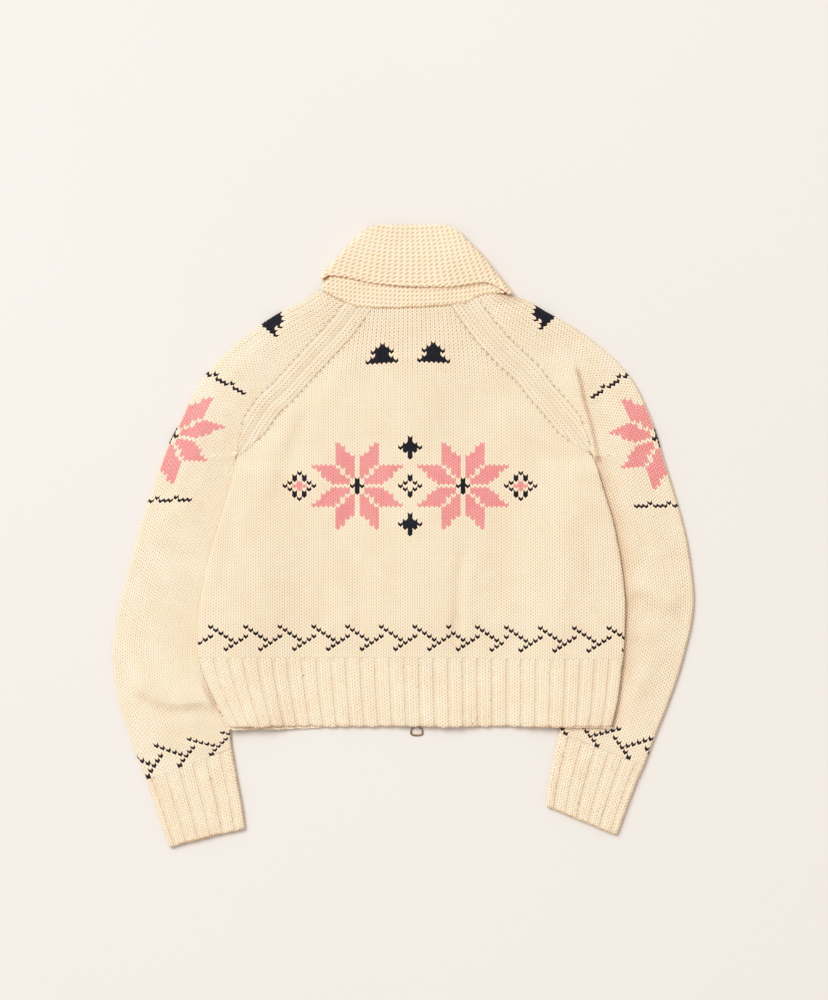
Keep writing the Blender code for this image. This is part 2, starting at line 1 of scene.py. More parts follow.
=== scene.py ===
"""Looks of the cowichan cardigan: every knitted piece is a closed shell whose outer side
is a lattice of real stitches, laid over the frame's own levels, with its folds placed
one by one.  Lengths in the tables are millimetres, angles are degrees."""
import math
import bpy
import numpy as np
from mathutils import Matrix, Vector


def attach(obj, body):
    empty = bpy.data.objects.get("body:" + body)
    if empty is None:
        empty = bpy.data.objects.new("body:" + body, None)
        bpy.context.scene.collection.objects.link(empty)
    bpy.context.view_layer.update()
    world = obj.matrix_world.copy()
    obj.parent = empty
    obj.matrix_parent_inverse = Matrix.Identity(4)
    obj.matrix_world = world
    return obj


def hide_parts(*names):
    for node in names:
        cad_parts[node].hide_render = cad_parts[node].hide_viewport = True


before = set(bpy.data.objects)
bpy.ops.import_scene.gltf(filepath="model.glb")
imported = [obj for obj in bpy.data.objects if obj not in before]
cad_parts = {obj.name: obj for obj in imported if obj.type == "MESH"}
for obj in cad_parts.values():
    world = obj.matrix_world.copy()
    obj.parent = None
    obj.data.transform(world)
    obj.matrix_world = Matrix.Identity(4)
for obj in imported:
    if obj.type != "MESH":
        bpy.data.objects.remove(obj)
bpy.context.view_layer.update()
MM = 0.001

# ------------------------------------------------------------------ camera, floor, light
VIEW_X, VIEW_Y, VIEW_TALL, VIEW_FAR = 13.5, 45.0, 1270.0, 3500.0
cam_data = bpy.data.cameras.new("camera")
cam_data.lens = 36.0 * VIEW_FAR / VIEW_TALL
cam_data.sensor_width = 36.0
cam_data.clip_start, cam_data.clip_end = 0.05, 50.0
camera = bpy.data.objects.new("camera", cam_data)
camera.location = (VIEW_X * MM, VIEW_Y * MM, (VIEW_FAR + 8.0) * MM)
bpy.context.scene.collection.objects.link(camera)
bpy.context.scene.camera = camera
seen = bpy.context.scene.view_settings
seen.view_transform = "Standard"
seen.look = "None"
seen.use_curve_mapping = True                 # soft shoulder of a studio photograph
seen.curve_mapping.clip_max_x = seen.curve_mapping.clip_max_y = 2.0
shoulder = seen.curve_mapping.curves[3]
shoulder.points[0].location, shoulder.points[1].location = (0.0, 0.0), (1.60, 1.0)
seen.curve_mapping.update()
for a, b in ((0.35, 0.35), (0.70, 0.697), (0.85, 0.826), (0.967, 0.900), (1.064, 0.955), (1.20, 0.990)):
    shoulder.points.new(a, b)
seen.curve_mapping.update()

# ------------------------------------------------------------------ sizes shared with the frame
CLOTH, GAP, PITCH = 3.3, 0.4, 3.7
ZIP_X, FRONT_EDGE, UNDERARM_Y, NECK_DIP = 17.0, 5.0, 102.0, 2.5
FRONT_REACH, BACK_REACH, UNDERARM_ROW = 13.0, 24.0, 8
ZIP_FOOT_Y, ZIP_TOP_Y, SLIDER_TOP_Y, SLIDER_FOOT_Y = -243.0, 222.0, -230.5, -241.0
PULL_AXIS, PULL_REST = (17.0, -242.5, 1.6), 3.5
TAPE_Z = 3.6
FLOOR = 0.54                              # room under the lowest cloth for the relief of its stitches
WALE, ROW, RISE = 6.11, 4.06, 0.72        # stitch pitch across and up, and rise of a leg in rows
BAND = 15.6                               # width of the plain band beside each raglan seam

# columns: left_x, left_y, right_x, right_y of the raglan seams from neck to underarm
RAGLAN = [(-58, 290, 78, 295), (-79, 262, 102, 262), (-106, 233, 128, 233), (-132, 205, 157, 206),
          (-152, 183, 175, 183), (-170, 166, 190, 166), (-185, 145, 207, 145), (-199, 122, 224, 124),
          (-211, 102, 238, 104)]
# columns: y, left_x, right_x of the body's side folds, then of its ribbed hem
SIDES = [(94, -213, 243), (86, -214.5, 245.5), (78, -216, 248), (70, -218, 250.5), (45, -225, 258),
         (20, -233, 266), (-31, -248, 276), (-82, -258, 282), (-133, -261, 281), (-156, -261, 279)]
HEM = [(-156, -261, 279), (-184, -252, 276), (-209, -240, 273), (-243, -222, 265)]
# columns: outer_x, outer_y, inner_x, inner_y of the sleeves' stations, then of the cuffs
SLEEVE_LEFT = [(-107, 312.5, -58, 290), (-133.5, 295, -79, 262), (-163, 280, -106, 233),
               (-195, 258, -132, 205), (-223, 235, -152, 183), (-248, 209, -170, 166),
               (-268, 178, -185, 145), (-284, 145, -199, 122), (-299, 115, -211, 102),
               (-305, 100, -211, 93), (-311, 82, -209.5, 84), (-318, 62, -207, 66),
               (-325, 42, -204, 46), (-335, 10, -197, 14), (-345, -26, -196, -20),
               (-359, -80, -202, -69), (-369, -133, -210, -125), (-369, -168, -214, -163),
               (-365, -201, -216, -194), (-355, -234, -219, -224), (-342.5, -270, -220, -247),
               (-327, -311, -218, -271)]
SLEEVE_RIGHT = [(132.6, 304.4, 78, 295), (156, 298.5, 102, 262), (183, 283.5, 128, 233),
                (216, 265, 157, 206), (245, 244, 175, 183), (269, 223, 190, 166),
                (292, 196, 207, 145), (307, 167, 224, 124), (320, 134, 238, 104),
                (326, 114, 241, 93), (332, 93, 240, 84), (339, 71, 238, 66),
                (346, 48, 233, 47), (355, 16, 220, 12), (362, -16, 214, -22),
                (369, -72, 213, -77), (367, -107, 210, -107), (360, -139, 209, -133),
                (349.5, -177, 205, -161), (334.5, -219, 201, -189), (320, -255, 199, -219),
                (306, -293, 198, -251)]
CUFF_LEFT = [(-327, -311, -218, -271), (-318, -336, -212, -307), (-308, -366, -206.5, -336),
             (-297.5, -397, -201, -373)]
CUFF_RIGHT = [(306, -293, 198, -251), (297.5, -311, 191, -281), (287, -338, 185, -311),
              (271, -382, 181, -345)]
# columns: fold_x, fold_y, fall_x, fall_y, seam_x, out of the collar's stations
COLLAR = [(12, 280, 12, 199, 12, 270), (-1, 303, -14, 223, -10, 270), (-14, 327, -40, 250, -35, 270),
          (-28, 351, -66, 279, -58, 270), (-40, 372, -86, 306, -80, 270), (-49.5, 385, -103.5, 325, -103, 270),
          (-49.5, 385, -103.5, 325, -103, 225), (-49.5, 385, -103.5, 325, -103, 180),
          (-49.5, 385, -103.5, 325, -103, 135), (-49.5, 385, -103.5, 325, -103, 90),
          (-45.5, 388, -95, 329, -92, 90), (-39, 390.5, -77, 328, -78, 90), (-30, 391.6, -60, 324.5, -66, 90),
          (-18, 392, -45, 321, -58, 90), (-7, 392, -29, 319, -38, 90), (6, 392, -4, 316, -12, 90),
          (19, 392, 20, 315, 14, 90), (33, 392, 46, 315, 40, 90), (46, 391.5, 66, 316, 62, 90),
          (58, 390, 82, 318, 78, 90), (66, 387, 96, 320, 90, 90), (72.5, 382.5, 108, 320, 101, 90),
          (78.5, 376, 121, 314, 114, 90), (83.5, 370, 134.5, 305.5, 127, 90), (83.5, 370, 134.5, 305.5, 127, 45),
          (83.5, 370, 134.5, 305.5, 127, 0), (83.5, 370, 134.5, 305.5, 127, -45),
          (83.5, 370, 134.5, 305.5, 127, -90),
          (68, 350, 108, 282, 104, -90), (57, 333, 88, 259, 78, -90), (45, 315, 66, 238, 58, -90),
          (33, 297, 42, 217, 38, -90), (22, 280, 22, 199, 22, -90)]
FALL_LINE = ((-101, 324), (17, 197), (133, 305))
FOLD_LINE = ((-45, 383), (17, 278), (79, 367))


# ------------------------------------------------------------------ levels
def soft(u):
    u = np.clip(u, 0.0, 1.0)
    return u * u * (3 - 2 * u)


def beyond(x, y, a, b):
    dx, dy = b[0] - a[0], b[1] - a[1]
    return ((x - a[0]) * dy - (y - a[1]) * dx) / math.hypot(dx, dy)


def over_fronts(x, y):
    deep = -np.maximum(beyond(x, y, FOLD_LINE[0], FOLD_LINE[1]), beyond(x, y, FOLD_LINE[1], FOLD_LINE[2]))
    return 1 - soft((deep - 2) / 26)


def over_fall(x, y, reach=FRONT_REACH):
    out = np.maximum(beyond(x, y, FALL_LINE[0], FALL_LINE[1]), beyond(x, y, FALL_LINE[1], FALL_LINE[2]))
    return (1 - soft((out - reach) / 18)) * over_fronts(x, y)


def over_fall_top(x, y):
    """As over_fall, for the cloth that bridges over it."""
    out = np.maximum(beyond(x, y, FALL_LINE[0], FALL_LINE[1]), beyond(x, y, FALL_LINE[1], FALL_LINE[2]))
    return (1 - soft((out - BACK_REACH) / 66)) * over_fronts(x, y)


def inner_fold(rows, y):
    ys = np.array([r[3] for r in rows[UNDERARM_ROW:]], float)[::-1]
    xs = np.array([r[2] for r in rows[UNDERARM_ROW:]], float)[::-1]
    return np.interp(y, ys, xs)


def over_sleeve(x, y):
    away = np.minimum(x - inner_fold(SLEEVE_LEFT, y), inner_fold(SLEEVE_RIGHT, y) - x)
    return np.where(y > UNDERARM_Y, 0.0, soft((UNDERARM_Y - y) / 26) * (1 - soft((away - 4) / 26)))


def zip_ridge(x, y):
    top = 1.9 + 1.0 * soft((-190 - y) / 30)
    return top * (1 - soft((np.abs(x - ZIP_X) - 4) / 34)) * soft((236 - y) / 12)


def off_floor(x, y):
    """Places of the hem that stand off what lies under them."""
    return (6.6 * np.exp(-((x + 178) / 32) ** 2) * soft((-182 - y) / 56)
            + 5.0 * np.exp(-((x - 66) / 25) ** 2) * soft((-190 - y) / 48))


def level_front(x, y):
    return PITCH * over_fall(x, y) + 2 * PITCH * over_sleeve(x, y) + off_floor(x, y)


def level_back(x, y):
    return (PITCH * (over_fronts(x, y) + over_fall(x, y, BACK_REACH)) + 2 * PITCH * over_sleeve(x, y)
            + zip_ridge(x, y))


def over_sleeve_top(x, y):
    away = np.minimum(x - inner_fold(SLEEVE_LEFT, y), inner_fold(SLEEVE_RIGHT, y) - x)
    return np.where(y > UNDERARM_Y, 0.0, soft((UNDERARM_Y - y) / 26) * (1 - soft((away - 4) / 84)))


def zip_ridge_top(x, y):
    top = 1.9 + 1.0 * soft((-190 - y) / 30)
    return top * (1 - soft((np.abs(x - ZIP_X) - 4) / 70)) * soft((236 - y) / 12)


def level_back_top(x, y):
    return (PITCH * (over_fronts(x, y) + over_fall_top(x, y)) + 2 * PITCH * over_sleeve_top(x, y)
            + zip_ridge_top(x, y) + off_floor(x, y))


def eased(rows, column, key=0, sigma=9.0):
    """A column of a table as a smooth function of its key column."""
    k = np.array([r[key] for r in rows], float)
    c = np.array([r[column] for r in rows], float)
    order = np.argsort(k)
    k, c = k[order], c[order]
    grid = np.arange(k[0] - 60, k[-1] + 60.5, 1.0)
    line = np.interp(grid, k, c)
    line = np.where(grid < k[0], c[0] + (grid - k[0]) * (c[1] - c[0]) / (k[1] - k[0]), line)
    line = np.where(grid > k[-1], c[-1] + (grid - k[-1]) * (c[-1] - c[-2]) / (k[-1] - k[-2]), line)
    kernel = np.exp(-0.5 * (np.arange(-30, 31) / sigma) ** 2)
    line = np.convolve(np.pad(line, 30, mode="reflect", reflect_type="odd"), kernel / kernel.sum(), "valid")
    return lambda y: np.interp(y, grid, line)


BODY = [r for r in SIDES] + [r for r in HEM[1:]]
side_left = eased([(104, -211, 239)] + BODY, 1, sigma=7.0)
side_right = eased([(104, -211, 239)] + BODY, 2, sigma=7.0)


class Line:
    """Smooth line through the points of a table, by its own length."""

    def __init__(self, points):
        p = np.array(points, float)
        q = np.vstack([2 * p[0] - p[1], p, 2 * p[-1] - p[-2]])
        out, keys = [], []
        for i in range(len(p) - 1):
            a, b, c, d = q[i], q[i + 1], q[i + 2], q[i + 3]
            for k in range(16):
                t = k / 16
                out.append(0.5 * (2 * b + (c - a) * t + (2 * a - 5 * b + 4 * c - d) * t * t
                                  + (3 * b - a - 3 * c + d) * t ** 3))
                keys.append(i + t)
        self.p = np.array(out + [p[-1]])
        self.keys = np.array(keys + [len(p) - 1.0])
        self.s = np.concatenate([[0], np.cumsum(np.hypot(*np.diff(self.p, axis=0).T))])
        self.long = self.s[-1]

    def at(self, s):
        return np.interp(s, self.s, self.p[:, 0]), np.interp(s, self.s, self.p[:, 1])

    def at_key(self, t):
        return np.interp(t, self.keys, self.p[:, 0]), np.interp(t, self.keys, self.p[:, 1])

    def way(self, s):
        x0, y0 = self.at(np.clip(s - 3, 0, self.long))
        x1, y1 = self.at(np.clip(s + 3, 0, self.long))
        n = np.hypot(x1 - x0, y1 - y0)
        return (x1 - x0) / n, (y1 - y0) / n


# ------------------------------------------------------------------ folds
# columns: x0, y0, x1, y1, width, height of soft ridges (+) and troughs (-)
FOLDS_BACK = [
    # over the zip, lower right of the middle
    (72, -30, 66, -120, 9, -2.2), (60, -40, 54, -130, 9, 1.6), (84, -50, 80, -160, 10, 2.0),
    (68, -110, 67, -158, 7.5, -2.4),
    # left side of the body, slack towards the sleeve
    (-150, 160, -175, 60, 14, 2.4), (-128, 150, -150, 85, 10, -1.8), (-186, 88, -150, 40, 11, 2.0),
    (-200, 20, -150, -30, 13, 2.2), (-210, -50, -160, -95, 12, 1.8), (-222, 10, -232, -60, 10, -1.6),
    (-120, 60, -100, -20, 18, 1.7), (-80, -20, -78, -105, 12, 1.5), (-104, -40, -108, -110, 9, -1.2),
    (-40, 20, -30, -70, 17, 1.5), (-62, -60, -60, -120, 8, -1.1),
    # right side
    (150, 60, 175, -30, 18, 2.0), (118, 30, 125, -60, 14, -1.3), (196, 40, 210, -40, 13, 1.6),
    (205, -70, 190, -130, 12, 1.5), (228, 10, 238, -70, 9, -1.4), (130, -90, 126, -140, 9, 1.2),
    (160, 150, 196, 96, 13, 1.6), (110, 190, 150, 130, 12, 1.3), (-70, 215, -105, 160, 13, 1.5),
    (20, 170, 25, 60, 26, 1.4),
]
FOLDS_LEFT = [
    # the deep crease of the forearm and the cloth that swells over and under it
    (-322, -170, -262, -184, 18, 1.2), (-296, -240, -244, -236, 16, 2.4),
    (-356, -120, -340, -178, 13, 1.8), (-290, -60, -262, -120, 20, 1.5),
    (-300, -20, -250, -34, 12, -2.2), (-330, 30, -290, -50, 17, 1.5), (-288, 30, -250, 10, 14, 2.2),
    (-262, 100, -226, 60, 12, 2.0), (-296, 84, -270, 40, 12, 1.8), (-246, 130, -222, 96, 10, -1.8),
    (-206, 196, -232, 168, 13, -1.2), (-190, 232, -214, 196, 15, 1.1), (-255, 190, -262, 130, 13, 2.0),
    (-160, 262, -190, 226, 16, 0.8), (-350, -210, -336, -262, 11, 1.8), (-232, -246, -226, -262, 8, -1.8),
    (-340, -60, -352, -110, 11, 1.8), (-264, -140, -240, -150, 11, 1.5),
]
FOLDS_RIGHT = [
    # fold of the armhole, which falls into the crevice beside the body
    (246, 190, 252, 150, 12, -1.4), (266, 196, 284, 150, 15, 1.4), (240, 236, 262, 214, 13, 1.2),
    # knuckle of the elbow
    (296, -130, 320, -124, 14, 1.2), (304, -38, 340, -34, 12, -1.1), (310, 20, 330, -20, 15, 2.0), (282, 60, 290, 0, 12, 1.8),
    (330, -150, 300, -190, 13, 1.8), (262, -150, 280, -200, 15, 1.8), (346, -90, 352, -50, 10, 1.6),
    (286, 110, 308, 66, 13, 1.9), (252, -40, 262, -110, 13, 1.5), (190, 262, 220, 246, 14, 1.5),
    (246, -196, 276, -232, 9, -1.5), (226, -218, 240, -236, 10, 1.4),
]


# columns: points of the crest, height, width of its gentle side (left of the way) and of its
# steep one (right of it), and depth of painted shade at the foot of the steep side
CREASES_LEFT = [([(-330, -194), (-315, -205), (-297, -211), (-276, -211.5), (-256, -208.5), (-238, -212)], 6.6, 24, 8.6, 0.15),
                ([(-236, -186), (-231, -200), (-226, -216)], 1.6, 8, 4, 0.10)]
CREASES_RIGHT = [([(243.5, 98), (240, 118), (235, 140), (226.5, 169), (221.5, 193), (218, 206)], 5.4, 20, 3.6, 0.30),
                 ([(268, -84), (282, -73), (300, -68), (318, -73), (333, -86)], 3.6, 14, 9, 0.06),
                 ([(258, -92), (272, -112), (292, -124)], 1.8, 14, 8, 0.04)]


def creases(table, x, y):
    """Height of ridges that fall steeply on one side, and depth of the shade painted at the foot of their steep side.
    """
    z, foot_shade = np.zeros(np.broadcast(x, y).shape), np.zeros(np.broadcast(x, y).shape)
    for points, height, gentle, steep, colour in table:
        best, turn = np.full(z.shape, 1e9), np.zeros(z.shape)
        for (x0, y0), (x1, y1) in zip(points, points[1:]):
            dx, dy = x1 - x0, y1 - y0
            size = math.hypot(dx, dy)
            t = np.clip(((x - x0) * dx + (y - y0) * dy) / size ** 2, 0, 1)
            ex, ey = x - x0 - t * dx, y - y0 - t * dy
            d = np.hypot(ex, ey)
            side = (ex * dy - ey * dx) / (size * np.maximum(d, 1e-6))
            turn = np.where(d < best, side, turn)
            best = np.minimum(d, best)
        right = soft((turn + 1) / 2)
        z = z + height * np.exp(-(best / (gentle + (steep - gentle) * right)) ** 2)
        # painted shade at the foot of the steep side
        foot_shade = foot_shade + colour * right ** 2 * np.exp(-((best - 1.25 * steep) / (0.95 * steep)) ** 2)
    return z, foot_shade


def folds(table, x, y):
    """Height that the table's ridges and troughs give at a place."""
    z = np.zeros(np.broadcast(x, y).shape)
    for x0, y0, x1, y1, width, height in table:
        dx, dy = x1 - x0, y1 - y0
        size = math.hypot(dx, dy)
        along = ((x - x0) * dx + (y - y0) * dy) / size
        across = ((x - x0) * dy - (y - y0) * dx) / size
        past = np.maximum(0, np.maximum(-along, along - size)) / (width * 1.5)
        z = z + height * np.exp(-(across / width) ** 2 - past ** 2)
    return z


# ------------------------------------------------------------------ closed shells of stitches
def make_mesh(name, verts, groups, deep, mats):
    """groups: list of (index array n x k, material array, uv array n x k x 2)."""
    mesh = bpy.data.meshes.new(name)
    mesh.vertices.add(len(verts))
    mesh.vertices.foreach_set("co", (verts * MM).astype(np.float32).ravel())
    loops = np.concatenate([g[0].ravel() for g in groups])
    sizes = np.concatenate([np.full(len(g[0]), g[0].shape[1]) for g in groups])
    starts = np.concatenate([[0], np.cumsum(sizes)[:-1]])
    mesh.loops.add(len(loops))
    mesh.loops.foreach_set("vertex_index", loops.astype(np.int32))
    mesh.polygons.add(len(sizes))
    mesh.polygons.foreach_set("loop_start", starts.astype(np.int32))
    mesh.polygons.foreach_set("material_index", np.concatenate([g[1] for g in groups]).astype(np.int32))
    uv = mesh.uv_layers.new(name="Knit")
    uv.data.foreach_set("uv", np.concatenate([g[2].reshape(-1, 2) for g in groups]).astype(np.float32).ravel())
    # deep: depth of painted shade at each vertex, painted light where it is below 0
    layer = mesh.attributes.new("deep", "FLOAT", "POINT")
    layer.data.foreach_set("value", deep.astype(np.float32))
    mesh.update(calc_edges=True)
    mesh.shade_smooth()
    mesh.set_sharp_from_angle(angle=math.radians(68))
    for m in mats:
        mesh.materials.append(m)
    return mesh


def tidy(faces, mat, uv):
    """Drops repeated corners and splits the faces by their number of corners."""
    by_size = {}
    for f, m, c in zip(faces, mat, uv):
        keep = [k for k in range(len(f)) if f[k] != f[k - 1]]
        if len(keep) >= 3 and len({f[k] for k in keep}) == len(keep):
            by_size.setdefault(len(keep), []).append(([f[k] for k in keep], m, [c[k] for k in keep]))
    return [(np.array([r[0] for r in rows]), np.array([r[1] for r in rows]), np.array([r[2] for r in rows], float))
            for rows in by_size.values()]


def knit_columns(first, last):
    """Plain knitting: four columns a stitch, legs that rise from its middle."""
    u = np.arange(first * 4, last * 4 + 1) / 4.0
    i = np.arange(first * 4, last * 4 + 1)
    rise = RISE * np.array([1.0, 0.5, 0.0, 0.5])[i % 4]
    return {"u": u, "rise": rise, "texl": u[:-1], "texr": u[1:], "risel": rise[:-1], "riser": rise[1:],
            "stitch": np.floor(u[:-1] + 0.1).astype(int), "coarse": np.arange(0, len(u), 4),
            "high": np.array([[-0.42, -0.02, -0.50, -0.02], [0.14, 0.36, 0.18, 0.36]])[:, i % 4]}


def shell(name, cols, nv, lo, hi, point, paint=None, mats=None, extra=None, flip=False, wobble=None,
          fine_inner=False, inner_high=None, relief=1.5, fade_ends=True, v_limits=None):
    """Closed shell.  cols describes the lattice's columns in stitches, nv is its number of
    rows, lo and hi bound each row in stitches, and point(u, v) gives the outer place, the
    way out and the inner place.  extra(x, y, u, v) gives height added, and depth of painted shade, painted light where
    that is below 0."""
    u, rise, n = cols["u"], cols["rise"], len(cols["u"])
    nj = 2 * nv + 1
    w = np.arange(nj) / 2.0
    lo_u, hi_u = np.maximum(lo(w), u[0]), np.minimum(hi(w), u[-1])
    ilo = np.clip(np.searchsorted(u, lo_u + 1e-6, side="right") - 1, 0, n - 2)
    ihi = np.clip(np.searchsorted(u, hi_u - 1e-6, side="left"), 1, n - 1)
    ihi = np.maximum(ihi, ilo + 1)
    j, i = np.meshgrid(np.arange(nj), np.arange(n), indexing="ij")
    held = (i <= ilo[:, None]) | (i >= ihi[:, None])
    cell = np.diff(u).min()
    uu = np.clip(np.broadcast_to(u, (nj, n)), lo_u[:, None], hi_u[:, None])
    if wobble is not None:
        uu = np.where(held, uu, uu + wobble(i, j))
    hand = np.random.default_rng(len(name) * 131 + n)
    uneven = hand.normal(0, 1, (nj, n // 4 + 2))[:, np.clip((i[0] + 1) // 4, 0, n // 4 + 1)]
    uu = np.where(held, uu, np.clip(uu + 0.026 * uneven, lo_u[:, None], hi_u[:, None]))
    fade = (np.clip(w, 0, 1) * np.clip(nv - w, 0, 1))[:, None] if fade_ends else 1.0
    vv = w[:, None] + np.where(held, 0.0, rise[None, :] * fade)
    if v_limits is not None:
        vv = np.clip(vv, v_limits[0], v_limits[1])
    outer, way, inner = point(uu, vv)
    high = cols["high"][j % 2, i] * relief
    high = np.where(held, np.minimum(high, 0.0), high - 0.09 * np.abs(hand.normal(0, 1, (nj, n))))
    deep = np.zeros((nj, n))
    if extra is not None:
        add, deep = extra(outer[..., 0], outer[..., 1], uu, vv)
        high = high + add
    outer = outer + way * high[..., None]

    offset = np.concatenate([[0], np.cumsum(ihi - ilo + 1)])
    vid = offset[:-1, None] + np.clip(i, ilo[:, None], ihi[:, None]) - ilo[:, None]
    real = (i >= ilo[:, None]) & (i <= ihi[:, None])
    verts, depth = [outer[real]], [deep[real]]

    # texture places at both sides of every column of cells
    du = np.diff(u)[None, :]
    fl = np.clip((uu[:, :-1] - u[None, :-1]) / du, 0, 1)
    fr = np.clip((uu[:, 1:] - u[None, :-1]) / du, 0, 1)
    tl = cols["texl"] + (cols["texr"] - cols["texl"]) * fl
    tr = cols["texl"] + (cols["texr"] - cols["texl"]) * fr
    rl = cols["risel"] + (cols["riser"] - cols["risel"]) * fl
    rr = cols["risel"] + (cols["riser"] - cols["risel"]) * fr
    left = np.stack([tl, vv[:, :-1] - rl], -1)
    right = np.stack([tr, vv[:, 1:] - rr], -1)

    a, b, c, d = vid[:-1, :-1], vid[:-1, 1:], vid[1:, 1:], vid[1:, :-1]
    uva, uvb, uvc, uvd = left[:-1], right[:-1], right[1:], left[1:]
    row = np.broadcast_to((np.arange(nj - 1) // 2)[:, None], a.shape)
    stitch = np.broadcast_to(cols["stitch"][None, :], a.shape)
    mat = paint(stitch, row) if paint is not None else np.zeros(a.shape, int)
    if paint is not None:
        # the stitch above a navy one covers its top
        upper = np.broadcast_to((np.arange(nj - 1) % 2 == 1)[:, None], a.shape)
        mat = np.where((mat == 1) & upper & (paint(stitch, row + 1) != 1), 3, mat)
    mat = mat * np.ones(a.shape, int)
    groups = []

    def add_faces(ids, keep, uvs, mat_of):
        order = slice(None, None, -1) if flip else slice(None)
        f = np.stack(ids[order], -1)[keep]
        t = np.stack(uvs[order], -2)[keep]
        if len(f):
            groups.append((f, mat_of[keep], t))

    full = (a != b) & (c != d)
    add_faces([a, b, c, d], full, [uva, uvb, uvc, uvd], mat)
    add_faces([a, b, d], (a != b) & (c == d), [uva, uvb, uvd], mat)
    add_faces([a, c, d], (a == b) & (c != d), [uva, uvc, uvd], mat)

    # inner side, coarser
    cj = 1 if fine_inner else 2
    rows_in = np.arange(0, nj, cj)
    cin = np.arange(n) if fine_inner else cols["coarse"]
    if cin[-1] != n - 1:
        cin = np.append(cin, n - 1)
    klo = np.array([np.searchsorted(cin, ilo[r], side="right") - 1 for r in rows_in])
    khi = np.array([np.searchsorted(cin, ihi[r], side="left") for r in rows_in])
    khi = np.maximum(khi, klo + 1)
    jj, kk = np.meshgrid(rows_in, cin, indexing="ij")
    place = inner[jj, np.clip(kk, ilo[rows_in][:, None], ihi[rows_in][:, None])]
    k_of = np.broadcast_to(np.arange(len(cin)), jj.shape)
    if inner_high is not None:
        out_way = way[jj, np.clip(kk, ilo[rows_in][:, None], ihi[rows_in][:, None])]
        held_in = (k_of <= klo[:, None]) | (k_of >= khi[:, None])
        place = place - out_way * np.where(held_in, 0.0, inner_high(place, jj))[..., None]
    base = int(offset[-1])
    off_in = base + np.concatenate([[0], np.cumsum(khi - klo + 1)])
    vin = off_in[:-1, None] + np.clip(k_of, klo[:, None], khi[:, None]) - klo[:, None]
    real_in = (k_of >= klo[:, None]) & (k_of <= khi[:, None])
    verts.append(place[real_in])
    depth.append(np.zeros(int(real_in.sum())))
    a, b, c, d = vin[:-1, :-1], vin[:-1, 1:], vin[1:, 1:], vin[1:, :-1]
    lefts = left[jj[:, :-1], cin[:-1][None, :]]
    rights = right[jj[:, 1:], (cin[1:] - 1)[None, :]]
    uva, uvb, uvc, uvd = lefts[:-1], rights[:-1], rights[1:], lefts[1:]
    mid = np.full(a.shape, 1 if fine_inner else 0)
    flip = not flip
    add_faces([a, b, c, d], (a != b) & (c != d), [uva, uvb, uvc, uvd], mid)
    add_faces([a, b, d], (a != b) & (c == d), [uva, uvb, uvd], mid)
    add_faces([a, c, d], (a == b) & (c != d), [uva, uvc, uvd], mid)
    flip = not flip

    # rims
    faces, mats_of, uvs = [], [], []

    def rim(ids, at):
        if flip:
            ids, at = ids[::-1], at[::-1]
        faces.append(ids)
        mats_of.append(0)
        uvs.append(at)

    for r in range(len(rows_in) - 1):
        js = range(rows_in[r], rows_in[r + 1] + 1)
        ids = [int(vid[q, 0]) for q in js][::-1] + [int(vin[r, 0]), int(vin[r + 1, 0])]
        rim([int(vid[q, 0]) for q in js][::-1] + [int(vin[r, 0]), int(vin[r + 1, 0])],
            [tuple(left[q, ilo[q]]) for q in js][::-1] + [tuple(left[js[0], ilo[js[0]]]), tuple(left[js[-1], ilo[js[-1]]])])
        rim([int(vid[q, n - 1]) for q in js] + [int(vin[r + 1, -1]), int(vin[r, -1])],
            [tuple(right[q, ihi[q] - 1]) for q in js] + [tuple(right[js[-1], ihi[js[-1]] - 1]), tuple(right[js[0], ihi[js[0]] - 1])])
    for q, r, down in ((0, 0, True), (nj - 1, len(rows_in) - 1, False)):
        for k in range(len(cin) - 1):
            cs = [int(np.clip(x, ilo[q], ihi[q])) for x in range(cin[k], cin[k + 1] + 1)]
            ids = [int(vid[q, x]) for x in cs] + [int(vin[r, k + 1]), int(vin[r, k])]
            at = [tuple(left[q, min(x, n - 2)]) for x in cs] + [tuple(left[q, min(cs[-1], n - 2)]), tuple(left[q, min(cs[0], n - 2)])]
            if down:
                ids, at = ids[::-1], at[::-1]
            rim(ids, at)
    groups += tidy(faces, mats_of, uvs)
    mesh = make_mesh(name, np.concatenate(verts), groups, np.concatenate(depth), mats or KNIT)
    obj = bpy.data.objects.new(name, mesh)
    bpy.context.scene.collection.objects.link(obj)
    return obj


def joined(name, objs):
    """One object from several closed shells."""
    with bpy.context.temp_override(active_object=objs[0], selected_editable_objects=objs, object=objs[0],
                                   selected_objects=objs):
        bpy.ops.object.join()
    objs[0].name = name
    objs[0].data.name = name
    return objs[0]


